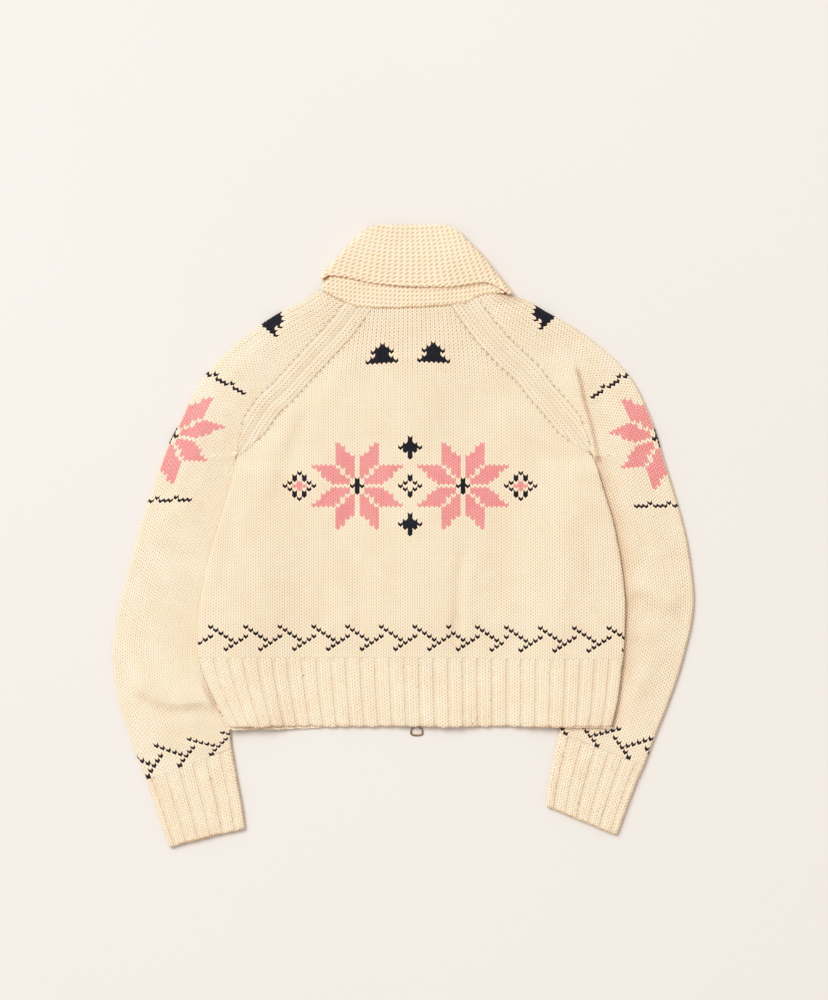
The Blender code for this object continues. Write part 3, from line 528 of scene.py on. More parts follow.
def cord(name, path, radius, deep, mats, closed=False, sides=7):
    """Yarn of a seam: a closed tube along a path, which fills the gap between two pieces."""
    p = np.array(path, float)
    n = len(p)
    way = np.roll(p, -1, 0) - np.roll(p, 1, 0) if closed else np.gradient(p, axis=0)
    way /= np.linalg.norm(way, axis=1, keepdims=True)
    side = np.cross(way, (0, 0, 1.0))
    side /= np.linalg.norm(side, axis=1, keepdims=True)
    top = np.cross(side, way)
    a = 2 * math.pi * np.arange(sides) / sides
    verts = p[:, None] + radius * (np.cos(a)[None, :, None] * side[:, None] + np.sin(a)[None, :, None] * top[:, None])
    run = np.concatenate([[0], np.cumsum(np.linalg.norm(np.diff(p, axis=0), axis=1))])
    faces, at = [], []
    for k in range(n if closed else n - 1):
        m = (k + 1) % n
        for q in range(sides):
            r = (q + 1) % sides
            faces.append([k * sides + q, m * sides + q, m * sides + r, k * sides + r])
            w0, w1 = run[k] / 4.06, (run[k] + np.linalg.norm(p[m] - p[k])) / 4.06
            u0, u1 = 0.15 + 0.7 * q / sides, 0.15 + 0.7 * (q + 1) / sides
            at.append([(u0, w0), (u0, w1), (u1, w1), (u1, w0)])
    if not closed:
        for ring, turn in ((0, False), (n - 1, True)):
            f = [ring * sides + q for q in range(sides)]
            faces.append(f[::-1] if turn else f)
            at.append([(0.5, run[ring] / 4.06)] * sides)
    groups = tidy(faces, [0] * len(faces), at)
    # deep: painted shade along the seam's yarn
    obj = bpy.data.objects.new(name, make_mesh(name, verts.reshape(-1, 3), groups, np.full(n * sides, deep), mats))
    bpy.context.scene.collection.objects.link(obj)
    return obj


# ------------------------------------------------------------------ materials
class Net:
    """Small helper that writes shader nodes as expressions."""

    def __init__(self, mat):
        mat.use_nodes = True
        self.tree = mat.node_tree
        self.bsdf = self.tree.nodes["Principled BSDF"]

    def node(self, kind, **props):
        made = self.tree.nodes.new(kind)
        for key, value in props.items():
            setattr(made, key, value)
        return made

    def put(self, socket, value):
        if isinstance(value, bpy.types.NodeSocket):
            self.tree.links.new(value, socket)
        else:
            socket.default_value = value

    def math(self, op, a, b=None, c=None):
        made = self.node("ShaderNodeMath", operation=op)
        self.put(made.inputs[0], a)
        if b is not None:
            self.put(made.inputs[1], b)
        if c is not None:
            self.put(made.inputs[2], c)
        return made.outputs[0]

    def smooth(self, value, low, high, to_low=0.0, to_high=1.0):
        made = self.node("ShaderNodeMapRange", interpolation_type="SMOOTHSTEP")
        self.put(made.inputs[0], value)
        for k, x in ((1, low), (2, high), (3, to_low), (4, to_high)):
            made.inputs[k].default_value = x
        return made.outputs[0]

    def mix(self, factor, a, b):
        made = self.node("ShaderNodeMix", data_type="RGBA")
        self.put(made.inputs[0], factor)
        self.put(made.inputs[6], a)
        self.put(made.inputs[7], b)
        return made.outputs[2]

    def noise(self, scale, detail=2.0, rough=0.5, vector=None):
        made = self.node("ShaderNodeTexNoise")
        made.inputs["Scale"].default_value = scale
        made.inputs["Detail"].default_value = detail
        made.inputs["Roughness"].default_value = rough
        if vector is not None:
            self.put(made.inputs["Vector"], vector)
        return made.outputs[0]


PIT_LEAN = 0.34


def wool(name, light, dark, crevice_shade, lozenge=False, sheen=0.25, over=None):
    """Wool yarn.  light and dark are the yarn's colours, the third is the colour of painted shade
    between legs and rows, and over the colour of the next row where that covers a stitch's top."""
    mat = bpy.data.materials.new(name)
    net = Net(mat)
    uv = net.node("ShaderNodeUVMap", uv_map="Knit").outputs[0]
    split = net.node("ShaderNodeSeparateXYZ")
    net.put(split.inputs[0], uv)
    u, w = split.outputs[0], split.outputs[1]
    obj = net.node("ShaderNodeTexCoord").outputs["Object"]
    fuzz = net.noise(1900.0, 3.0, 0.6, obj)
    blotch = net.noise(34.0, 3.0, 0.55, obj)
    fine = net.noise(420.0, 2.0, 0.5, obj)
    if lozenge:
        # upright columns of pits, each drawn out along one slant
        a = net.math("MULTIPLY_ADD", net.math("FRACT", net.math("ADD", u, 100.0)), 2.0, -1.0)
        fw = net.math("FRACT", net.math("ADD", net.math("MULTIPLY_ADD", a, PIT_LEAN, w), 100.0))
        t = net.math("MULTIPLY_ADD", fw, 2.0, -1.0)
        column = net.math("POWER", net.math("SUBTRACT", 1.0, net.math("MULTIPLY", a, a)), 0.85)
        course = net.math("POWER", net.math("SUBTRACT", 1.0, net.math("MULTIPLY", t, t)), 1.7)
        body = net.math("MULTIPLY_ADD", net.math("MULTIPLY", column, course), -1.08, 1.0)
        ply = net.math("SINE", net.math("MULTIPLY_ADD", a, 8.0, net.math("MULTIPLY", t, 4.0)))
    else:
        fu = net.math("FRACT", net.math("ADD", u, 100.0))
        fw = net.math("FRACT", net.math("ADD", w, 100.0))
        a = net.math("ABSOLUTE", net.math("MULTIPLY_ADD", fu, 2.0, -1.0))      # 0 middle, 1 border
        t = net.math("ABSOLUTE", net.math("MULTIPLY_ADD", fw, 2.0, -1.0))      # 0 middle, 1 between rows
        leg = net.math("ABSOLUTE", net.math("MULTIPLY_ADD", a, 2.0, -1.0))  # 0 mid leg, 1 at its ends
        across = net.math("MULTIPLY", net.math("POWER", t, 2.0), 0.68)
        along = net.math("MULTIPLY", net.math("POWER", leg, 3.0), 0.68)
        body = net.math("SUBTRACT", 1.0, net.math("ADD", across, along))
        ply = net.math("SINE", net.math("MULTIPLY_ADD", a, 15.0, net.math("MULTIPLY", t, 3.2)))
    shape = net.smooth(body, -0.35, 0.85)
    # gap: painted shade between the legs and rows of the stitches, and in the collar's pits
    gap = net.smooth(body, *((-0.45, 0.72) if lozenge else (-0.30, 0.72)), 1.0, 0.0)
    # deep: more painted shade from the mesh, and painted light where it is below 0
    deep = net.node("ShaderNodeAttribute", attribute_name="deep").outputs["Fac"]
    shade = net.math("MINIMUM", 1.0, net.math("ADD", net.math("MULTIPLY", gap, 0.98), deep))
    tone = net.smooth(net.math("ADD", net.math("MULTIPLY", blotch, 0.75), net.math("MULTIPLY", fine, 0.25)), 0.36, 0.64)
    yarn = net.mix(tone, (*dark, 1), (*light, 1))
    colour = net.mix(shade, yarn, (*crevice_shade, 1))
    if over is not None:
        colour = net.mix(net.smooth(fw, 0.90, 0.97), colour, (*over, 1))
    net.put(net.bsdf.inputs["Base Color"], colour)
    net.bsdf.inputs["Roughness"].default_value = 0.92
    net.bsdf.inputs["Specular IOR Level"].default_value = 0.22
    net.bsdf.inputs["Sheen Weight"].default_value = sheen
    net.bsdf.inputs["Subsurface Weight"].default_value = 0.34
    net.bsdf.inputs["Subsurface Radius"].default_value = (1.0, 0.55, 0.28)
    net.bsdf.inputs["Subsurface Scale"].default_value = 0.0045
    net.bsdf.inputs["Sheen Roughness"].default_value = 0.45
    net.bsdf.inputs["Sheen Tint"].default_value = (*light, 1)
    height = net.math("ADD", net.math("MULTIPLY", shape, 0.85),
                      net.math("ADD", net.math("MULTIPLY", ply, 0.045), net.math("MULTIPLY", fuzz, 0.16)))
    bump = net.node("ShaderNodeBump")
    bump.inputs["Strength"].default_value = 0.80
    bump.inputs["Distance"].default_value = 0.0015
    net.put(bump.inputs["Height"], height)
    net.put(net.bsdf.inputs["Normal"], bump.outputs[0])
    return mat


# each wool: light and dark yarn colours, then the colour of the painted shade between its stitches
CREAM = ((0.980, 0.770, 0.577), (0.950, 0.727, 0.529), (0.50, 0.325, 0.185))
NAVY = ((0.016, 0.016, 0.024), (0.009, 0.010, 0.016), (0.003, 0.003, 0.006))
KNIT = [wool("cream_wool", *CREAM), wool("navy_wool", *NAVY, sheen=0.15),
        wool("pink_wool", (0.90, 0.345, 0.330), (0.86, 0.300, 0.290), (0.48, 0.120, 0.115)),
        wool("navy_wool_under_cream", *NAVY, sheen=0.15, over=(0.93, 0.71, 0.52))]
# the collar's wool: light and dark yarn colours, then the colour of its painted shade
CREAM_COLLAR = ((0.945, 0.720, 0.515), (0.915, 0.680, 0.474), (0.52, 0.340, 0.195))
LOZENGE = [wool("cream_wool_collar", *CREAM_COLLAR, lozenge=True), wool("cream_wool_stand", *CREAM_COLLAR, lozenge=True)]


# ------------------------------------------------------------------ charts
ZIGZAG = ("X......", ".X.....", "..X....", "X..X...", "....X.X", ".....X.", "....X..", "...X...")
FIR = (1, 3, 5, 3, 5, 7)          # stitches of each row, from the tip down


def zigzag(k, r, bottom=2, shift=0):
    """Navy zigzag line of seven stitches and eight rows."""
    out = np.zeros(np.broadcast(k, r).shape, int)
    for n, line in enumerate(ZIGZAG):
        for c, mark in enumerate(line):
            if mark == "X":
                out = np.where((r == bottom + 7 - n) & ((k + shift) % 7 == c), 1, out)
    return out


def fir(k, r, middle, top, out, widths=FIR):
    """Fir tree of one colour."""
    a, b = k - middle, top - r
    for n, wide in enumerate(widths):
        out = np.where((b == n) & (np.abs(a) <= (wide - 1) / 2), 1, out)
    return out


def star(k, r, middle, centre, out, colour=2, size=4):
    """Eight-pointed star: each quarter holds two slanted bars that meet on the diagonal."""
    a = np.abs(k - middle).astype(float)
    b = np.abs(r - centre) * ROW / WALE
    petal = ((a > 0.5) & (a < size + 0.5) & (b > a + 0.6) & (b < a + size + 1.2)) | \
            ((b > 0.4) & (b < size + 0.5) & (a > b + 0.6) & (a < b + size + 1.2))
    return np.where(petal, colour, out)


def diamond(k, r, middle, centre, half, out, colour=1, ring=False):
    d = np.abs(k - middle) + np.abs(r - centre) * ROW / WALE
    inside = d < half + 0.3
    if ring:
        inside &= d > half - 1.0
    return np.where(inside, colour, out)


# ------------------------------------------------------------------ body
Y0 = -155.7
BODY_ROWS = 109
NECK_RAW = Y0 + ROW * BODY_ROWS
NECK_L, NECK_R = (-58, 290), (78, 295)
seam_left = Line([(r[0], r[1]) for r in RAGLAN])
seam_right = Line([(r[2], r[3]) for r in RAGLAN])


def droop(x):
    """Sag of the last rows and of the hem's top towards the right."""
    return 1.8 * soft((x - 10.0) / 190.0)


def neck_y(x):
    f = (x - NECK_L[0]) / (NECK_R[0] - NECK_L[0])
    return NECK_L[1] + (NECK_R[1] - NECK_L[1]) * f - NECK_DIP * np.sin(np.pi * np.clip(f, 0, 1))


def band_wide(s, long):
    """Width of the plain band at a distance from the neck along its seam."""
    return BAND * np.clip((long - s) / 46.0, 0.0, 1.0) ** 0.7


def border_of(line, side):
    """Inner border of a band: x at height y.  side is 1 where the body lies to +X."""
    s = np.linspace(0, line.long, 160)
    x, y = line.at(s)
    tx, ty = line.way(s)
    wide = band_wide(s, line.long) + 0.25
    bx, by = x - ty * side * wide, y + tx * side * wide
    # carried on to the neck
    head = np.linspace(30, 1, 12)
    bx = np.concatenate([bx[0] - tx[0] * head, bx])
    by = np.concatenate([by[0] - ty[0] * head, by])
    order = np.argsort(by)
    return by[order], bx[order]


BORDER_L, BORDER_R = border_of(seam_left, 1), border_of(seam_right, -1)


def body_plan(u, v, back):
    x0 = 14.7 + WALE * (u - 0.5)
    y = Y0 + ROW * v
    side = (x0 - 10.0) / 85.0
    lean = 15.0 * np.clip((y - 178) / 112.0, 0, 1) ** 2
    x = x0 - lean * np.sign(side) * np.clip(np.abs(side), 0, 1.35) ** 1.4
    x = x + 0.5 * (side_left(y) + 250.0) * np.exp(-np.clip(x0 + 262.0, 0, 400) / 26.0)
    x = x + 0.5 * (side_right(y) - 272.0) * np.exp(-np.clip(284.0 - x0, 0, 400) / 26.0)
    y = y - droop(x) * (1 - soft((y + 150) / 190.0))
    if back:
        up = np.clip((y - 176) / (NECK_RAW - 176), 0, 1)
        y = y + (neck_y(x) - NECK_RAW) * soft(up) - 4.2 * (1 - np.exp(-(side / 0.55) ** 2)) * np.sin(np.pi * up) ** 1.3
    return x, y


def body_edges(y):
    """Left and right ends of a body row, under the bands or at the side folds."""
    left = np.where(y > UNDERARM_Y, np.interp(y, *BORDER_L), side_left(y) + 0.2)
    right = np.where(y > UNDERARM_Y, np.interp(y, *BORDER_R), side_right(y) - 0.2)
    return left, right


def bound_of(plan, back, which, limit=None):
    """Function of the row that gives where it ends, in stitches."""
    us = np.linspace(-60, 60, 1201)

    def at(w):
        out = []
        for v in w:
            x, y = plan(us, np.full(us.shape, v), back)
            left, right = body_edges(y)
            edge = left if which == "lo" else right
            if limit is not None:
                edge = limit(y, edge)
            gap = x - edge
            k = np.where(np.diff(np.sign(gap)) != 0)[0]
            if len(k) == 0:
                out.append(us[0] if which == "lo" else us[-1])
                continue
            k = k[0] if which == "lo" else k[-1]
            out.append(us[k] + (us[k + 1] - us[k]) * (-gap[k]) / (gap[k + 1] - gap[k]))
        return np.array(out)
    return at


EDGE_WIDE = 6.0


def side_drop(x, y):
    """Share of the wall left near the side folds: 0 on the fold, 1 away from it."""
    t = np.minimum(x - side_left(y), side_right(y) - x) / EDGE_WIDE
    t = np.maximum(t, soft((y - UNDERARM_Y + 38) / 38))
    t = np.clip(t, 0, 1)
    return np.sqrt(np.clip(1 - (1 - t) ** 2, 0, 1))


def back_swell(x, y):
    """Slack of the back: broad swell and folds, none at its ends and edges."""
    d = np.minimum(x - np.where(y > UNDERARM_Y, np.interp(y, *BORDER_L), side_left(y)),
                   np.where(y > UNDERARM_Y, np.interp(y, *BORDER_R), side_right(y)) - x)
    calm = soft(d / 34.0) * soft((y + 150) / 40.0) * soft((282 - y) / 60.0)
    broad = 2.4 + 0.9 * np.sin(x / 61.0 + 0.6) * np.cos(y / 74.0 + 0.4) + 0.5 * np.sin(x / 29.0 - y / 47.0)
    return np.maximum(0.0, calm * (broad + 0.72 * folds(FOLDS_BACK, x, y)))


def with_way(height, x, y, flip=False):
    """Place and way out of a height field."""
    h = 1.5
    z = height(x, y)
    gx = np.clip((height(x + h, y) - height(x - h, y)) / (2 * h), -2.5, 2.5)
    gy = np.clip((height(x, y + h) - height(x, y - h)) / (2 * h), -2.5, 2.5)
    way = np.stack([-gx, -gy, np.ones_like(gx)], -1)
    way /= np.linalg.norm(way, axis=-1, keepdims=True)
    if flip:
        way = -way
    return np.stack([x, y, z], -1), way


def back_top(x, y):
    return level_back_top(x, y) + 0.25 + (CLOTH - 0.25) * side_drop(x, y) + back_swell(x, y)


def back_point(u, v):
    x, y = body_plan(u, v, True)
    place, way = with_way(back_top, x, y)
    low = np.minimum(level_back_top(x, y) + back_swell(x, y), place[..., 2] - 0.25)
    return place, way, np.stack([x, y, low], -1)


def back_paint(k, r):
    # two repeats are a stitch short, where the cloth gathers over the zip
    out = np.where(r < 11, zigzag(k + (k >= 8) + (k >= 19), r), 0)
    out = fir(k, r, -7, 97, out)
    out = fir(k, r, 4, 97, out)
    for middle in (-12, 10):
        out = star(k, r, middle, 53, out)
        out = diamond(k, r, middle, 53, 1.2, out)
    for centre in (41, 53, 65):
        out = diamond(k, r, -1, centre, 2.0, out, ring=centre == 53)
    for middle in (-24, 22):
        out = diamond(k, r, middle, 53, 3.0, out, ring=True)
        out = diamond(k, r, middle, 53, 0.8, out, colour=2)
    return out


MARK_PITCH = 8.4         # along the bands, between the small holes of the decreases


def near_seam(line, side, x, y, wide_of, first=9.0):
    """Where a band's soft groove and the holes of its decreases lie, for their depth and their painted shade."""
    s = np.arange(2.0, line.long - 12, 1.5)
    px, py = line.at(s)
    tx, ty = line.way(s)
    wide = wide_of(s, line.long)
    bx, by = px - ty * side * wide, py + tx * side * wide
    shape = x.shape
    flat = np.stack([x.ravel(), y.ravel()], -1)
    near = (np.abs(flat[:, 0] - bx.mean()) < 140) & (np.abs(flat[:, 1] - by.mean()) < 140)
    dist = np.full(len(flat), 99.0)
    hole = np.zeros(len(flat))
    if near.any():
        p = flat[near]
        d = np.full(len(p), 99.0)
        for q in range(0, len(bx), 1):
            d = np.minimum(d, np.hypot(p[:, 0] - bx[q], p[:, 1] - by[q]))
        dist[near] = d
        marks = np.arange(first, line.long - 30, MARK_PITCH)
        h = np.zeros(len(p))
        for m in marks:
            mx, my = np.interp(m, s, bx - ty * side * 1.6), np.interp(m, s, by + tx * side * 1.6)
            h = np.maximum(h, np.exp(-((p[:, 0] - mx) ** 2 + (p[:, 1] - my) ** 2) / 1.5 ** 2))
        hole[near] = h
    return dist.reshape(shape), hole.reshape(shape)


def body_extra(lines, neck=True):
    def extra(x, y, u, v):
        add, deep = np.zeros(x.shape), np.zeros(x.shape)
        for line, side in lines:
            dist, hole = near_seam(line, side, x, y, band_wide)
            # painted shade in the groove beside each band and in the holes of the decreases
            add = add - 0.35 * np.exp(-(dist / 1.5) ** 2) - 0.9 * hole
            deep = deep + 0.05 * np.exp(-(dist / 1.4) ** 2) + 1.0 * hole
        if neck:
            # painted shade in the neck seam's groove
            at = np.exp(-((neck_y(x) - y) / 1.6) ** 2)
            add, deep = add - 0.6 * at, deep + 0.5 * at
            # the wales show as dotted lines at the neck: dips, with painted shade in them
            border = np.exp(-((np.mod(u + 0.5, 1.0) - 0.5) / 0.13) ** 2)
            near = soft((y - 170) / 85.0)
            dots = 0.5 + 0.5 * np.cos(2 * math.pi * (v - RISE))
            add, deep = add - 0.85 * border * near * (0.4 + 0.6 * dots), deep + 0.62 * border * near * (0.12 + 0.88 * dots)
            # painted shade in the troughs of the folds
            deep = deep + 0.04 * np.clip(-folds(FOLDS_BACK, x, y), 0, 3)
        return add, np.clip(deep, 0, 1)
    return extra


def strip(name, line, side, point_z, start_shear, flip, under=False, floor=False):
    """Three plain stitches along a raglan seam.  side is 1 where the strip lies to +X of
    the seam.  point_z(x, y) gives the top of the cloth there."""
    cols = knit_columns(0, 3)
    rows = int(round(line.long / 4.15))
    pitch = BAND / 3
    step = line.long / rows

    def plan(u, v):
        d = 0.17 + u * pitch
        w = rows - v
        s = w * step
        s = s - start_shear * u * pitch * (1 - soft(s / 60.0))
        x, y = line.at(np.clip(s, 0, line.long))
        tx, ty = line.way(np.clip(s, 0, line.long))
        head = np.minimum(s, 0)
        return x + tx * head - ty * side * d, y + ty * head + tx * side * d

    def point(u, v):
        x, y = plan(u, v)
        place, way = with_way(point_z, x, y)
        low = place.copy()
        if floor:
            way = -way
            low[..., 2] += CLOTH
        else:
            low[..., 2] -= CLOTH
        return place, way, low

    def hi(w):
        s = (rows - w) * step
        return np.maximum(0.12, band_wide(s, line.long) / pitch)

    def extra(x, y, u, v):
        seam = np.exp(-(u * pitch / 1.7) ** 2)
        edge = np.exp(-((hi(np.clip(v, 0, rows)) - u) * pitch / 1.3) ** 2)
        crown = (0.0 if floor else 0.85) * np.sin(np.pi * np.clip(u / 3, 0, 1))
        dots = 0.5 + 0.5 * np.cos(2 * math.pi * (v - RISE))
        wale = np.exp(-((np.mod(u + 0.5, 1.0) - 0.5) / 0.13) ** 2) * (1 - seam) * (1 - edge)
        # colour: painted shade in the seam and in the dots along the wales, and painted light, 0.22 off the shade of
        # every gap in the strip
        return (crown - 0.45 * seam - 0.2 * edge - 0.50 * wale * dots,
                np.clip(0.48 * seam + 0.95 * wale * (0.25 + 0.75 * dots) - 0.22, -0.3, 1))

    return shell(name, cols, rows, lambda w: np.zeros(len(w)), hi, point, extra=extra, flip=flip)


BACK_LINES = [(seam_left, 1), (seam_right, -1)]
back_cols = knit_columns(-48, 48)
back_main = shell("back_main", back_cols, BODY_ROWS, bound_of(body_plan, True, "lo"), bound_of(body_plan, True, "hi"),
                  back_point, paint=back_paint, extra=body_extra(BACK_LINES))
back_strip_l = strip("back_strip_l", seam_left, 1, back_top, 0.69, flip=False)
back_strip_r = strip("back_strip_r", seam_right, -1, back_top, 0.75, flip=True)


def seam_path(line, top, drop):
    s = np.arange(2.0, line.long - 1.5, 2.6)
    x, y = line.at(s)
    return np.stack([x, y, top(x, y) - drop + 0.15 * np.sin(s / 2.1)], -1)


back = joined("back_knit", [back_main, back_strip_l, back_strip_r,
                            cord("back_seam_l", seam_path(seam_left, back_top, 0.80), 0.62, 0.06, KNIT),
                            cord("back_seam_r", seam_path(seam_right, back_top, 0.80), 0.62, 0.06, KNIT)])


# ------------------------------------------------------------------ fronts, outer side down
def front_low(x, y):
    return level_front(x, y) + (CLOTH - 0.25) * (1 - side_drop(x, y)) + FLOOR


def front_point(u, v):
    x, y = body_plan(u, v, False)
    place, way = with_way(front_low, x, y, flip=True)
    high = np.maximum(level_front(x, y) + CLOTH, place[..., 2] + 0.25)
    return place, way, np.stack([x, y, high], -1)


def front_piece(side):
    """side is -1 for the wearer's left front and 1 for the right one."""
    zip_edge = ZIP_X + side * FRONT_EDGE
    neck = NECK_L if side < 0 else NECK_R

    def limit(y, edge):
        line = zip_edge + (neck[0] - zip_edge) * np.clip((y - 225) / (neck[1] - 225), 0, 1)
        return line

    if side < 0:
        lo, hi = bound_of(body_plan, False, "lo"), bound_of(body_plan, False, "hi", limit)
        lines, cols = [(seam_left, 1)], knit_columns(-48, 2)
    else:
        lo, hi = bound_of(body_plan, False, "lo", limit), bound_of(body_plan, False, "hi")
        lines, cols = [(seam_right, -1)], knit_columns(-1, 48)
    rows = int((275 - Y0) / ROW)

    def paint(k, r):
        out = np.where(r < 11, zigzag(k, r), 0)
        return out

    def bounded(which):
        def at(w):
            a, b = lo(w), hi(w)
            mid = (a + b) / 2
            a, b = np.where(b - a < 0.5, mid - 0.25, a), np.where(b - a < 0.5, mid + 0.25, b)
            return a if which == "lo" else b
        return at

    name = "front_left" if side < 0 else "front_right"
    main = shell(name + "_main", cols, rows, bounded("lo"), bounded("hi"), front_point, paint=paint,
                 extra=body_extra(lines, neck=False), flip=True)
    line = seam_left if side < 0 else seam_right
    edge = strip(name + "_strip", line, -side, front_low, 0.0, flip=side < 0, floor=True)
    return joined(name + "_knit", [main, edge])


front_left, front_right = front_piece(-1), front_piece(1)

for piece, node in ((back, "back"), (front_left, "front_left"), (front_right, "front_right")):
    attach(piece, "garment")
    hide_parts(node)


# ------------------------------------------------------------------ sleeves and cuffs
TUBE = 7.0                      # height of a flattened sleeve
CAP, CAP_HIGH = 4.4, 3.5        # half-ellipse of its folds
QUARTER = math.pi / 2 * math.sqrt((CAP ** 2 + CAP_HIGH ** 2) / 2)


class Tube:
    """Flattened tube between an outer and an inner line, rows counted from its foot."""

    def __init__(self, table, row, closed_from, bow=0.0, swell=None):
        self.out, self.inn = Line([(r[0], r[1]) for r in table]), Line([(r[2], r[3]) for r in table])
        self.keys = np.linspace(0, len(table) - 1, 1200)
        ox, oy = self.out.at_key(self.keys)
        ix, iy = self.inn.at_key(self.keys)
        mean = (np.hypot(np.diff(ox), np.diff(oy)) + np.hypot(np.diff(ix), np.diff(iy))) / 2
        self.run = np.concatenate([[0], np.cumsum(mean)])
        self.rows = int(round(self.run[-1] / row))
        self.closed_from, self.bow, self.swell = closed_from, bow, swell

    def key(self, v):
        return np.interp(self.run[-1] * (1 - v / self.rows), self.run, self.keys)

    def row_at(self, x, y):
        """Row whose outer end is nearest to a place."""
        ox, oy = self.out.at_key(self.keys)
        n = np.argmin(np.hypot(ox - x, oy - y))
        return self.rows * (1 - self.run[n] / self.run[-1])

    def frame(self, v):
        t = self.key(v)
        ox, oy = self.out.at_key(t)
        ix, iy = self.inn.at_key(t)
        size = np.hypot(ix - ox, iy - oy)
        return t, ox, oy, (ix - ox) / size, (iy - oy) / size, size

    def half(self, v):
        """Length of one side from the outer fold to the inner one."""
        t, ox, oy, ax, ay, size = self.frame(v)
        shut = soft((t - self.closed_from + 0.4) / 0.9)
        return QUARTER - CAP + size + shut * (QUARTER - CAP), size, shut

    def levels(self, x, y):
        low = PITCH * over_fall(x, y)
        high = PITCH * over_fall_top(x, y)
        rise = self.swell(x, y) if self.swell else 0.0
        return low + FLOOR, TUBE + high + rise, TUBE / 2 + (low + high) / 2

    def top(self, x, y):
        return self.levels(x, y)[1]

    def bottom(self, x, y):
        return self.levels(x, y)[0]

    def point(self, s, v, flat=False):
        """Outer place, way out and inner place at a signed distance from the outer fold."""
        t, ox, oy, ax, ay, size = self.frame(v)
        total, _, shut = self.half(v)
        d = np.abs(s)
        up = np.where(s >= 0, 1.0, -1.0)
        a = np.clip(d / QUARTER, 0, 1) * math.pi / 2
        far = np.clip((total - d) / QUARTER, 0, 1) * math.pi / 2
        far = np.where(shut > 0.02, far, math.pi / 2)
        along = np.where(d < QUARTER, CAP * (1 - np.cos(a)), CAP + d - QUARTER)
        cap2 = CAP * np.maximum(shut, 0.02)
        on_far = (shut > 0.02) & (d > total - QUARTER)
        along = np.where(on_far, size - cap2 * (1 - np.cos(far)), along)
        lift = np.sin(a) * np.where(on_far, np.sin(far) * shut + (1 - shut), 1.0)
        wall = CLOTH - 0.1
        inside = np.where(d < QUARTER, wall + (CAP - wall) * (1 - np.cos(a)), along)
        inside = np.where(on_far, size - np.minimum(wall, cap2) - np.maximum(cap2 - wall, 0) * (1 - np.cos(far)), inside)
        bend = self.bow * np.clip(1 - t / 2.5, 0, 1) if self.bow else 0.0
        side = np.where(ax > 0, 1.0, -1.0)

        def plan(q):
            f = np.clip(q / size, 0, 1)
            lean = bend * 4 * f * (1 - f)
            return ox + ax * q - ay * lean * side, oy + ay * q + ax * lean * side

        x, y = plan(along)
        if flat:
            return x, y
        low, high, mid = self.levels(x, y)
        z = np.where(up > 0, mid + (high - mid) * lift, mid - (mid - low) * lift)
        h = 1.5
        gx = (self.top(x + h, y) - self.top(x - h, y)) / (2 * h)
        gy = (self.top(x, y + h) - self.top(x, y - h)) / (2 * h)
        gx, gy = np.where(up > 0, gx, 0) * lift, np.where(up > 0, gy, 0) * lift
        cosa = np.where(on_far, -np.cos(far) * shut, np.cos(a)) / CAP * CAP_HIGH
        sina = np.clip(lift, 0, 1)
        way = np.stack([-ax * cosa - gx * sina, -ay * cosa - gy * sina, up * sina], -1)
        way /= np.maximum(np.linalg.norm(way, axis=-1, keepdims=True), 1e-6)
        xi, yi = plan(inside)
        zi = np.where(up > 0, mid + np.maximum(high - CLOTH - mid, 0.1) * lift,
                      mid - np.maximum(mid - low - CLOTH, 0.1) * lift)
        return np.stack([x, y, z], -1), way, np.stack([xi, yi, zi], -1)


def free_of_body(x, y, left, reach=26.0):
    """1 where a sleeve is clear of the body above it, 0 under it."""
    edge = side_left(y) - x if left else x - side_right(y)
    under = np.clip((UNDERARM_Y + 4 - y) / 12.0, 0, 1)
    return 1 - under * (1 - soft((edge - 1.0) / reach))


def sleeve_swell(table, left, tube_of):
    def swell(x, y):
        tube = tube_of[0]
        line = seam_left if left else seam_right
        # distance inwards from the outer fold, and from the seam
        ys = tube.out.p[:, 1][::-1]
        xs = tube.out.p[:, 0][::-1]
        order = np.argsort(ys)
        away = np.abs(x - np.interp(y, ys[order], xs[order]))
        sx = np.interp(y, line.p[::-1, 1], line.p[::-1, 0])
        from_seam = np.where(y > UNDERARM_Y, np.abs(x - sx), 60.0)
        foot = soft((y + 282) / 20.0)
        calm = (soft(away / (38.0 if left else 54.0)) * soft((from_seam - 6) / (54.0 if left else 34.0))
                * free_of_body(x, y, left, 46.0 if left else 26.0) * foot)
        broad = 3.0 + 0.8 * np.sin(x / 37.0 + y / 80.0) + 0.6 * np.cos(y / 43.0 - x / 90.0)
        crest = creases(CREASES_LEFT if left else CREASES_RIGHT, x, y)[0]
        close = soft(away / 22.0) * soft((from_seam - 2) / 10.0) * free_of_body(x, y, left, 9.0) * foot
        return np.maximum(0.0, calm * (broad + folds(table, x, y))) + close * crest
    return swell


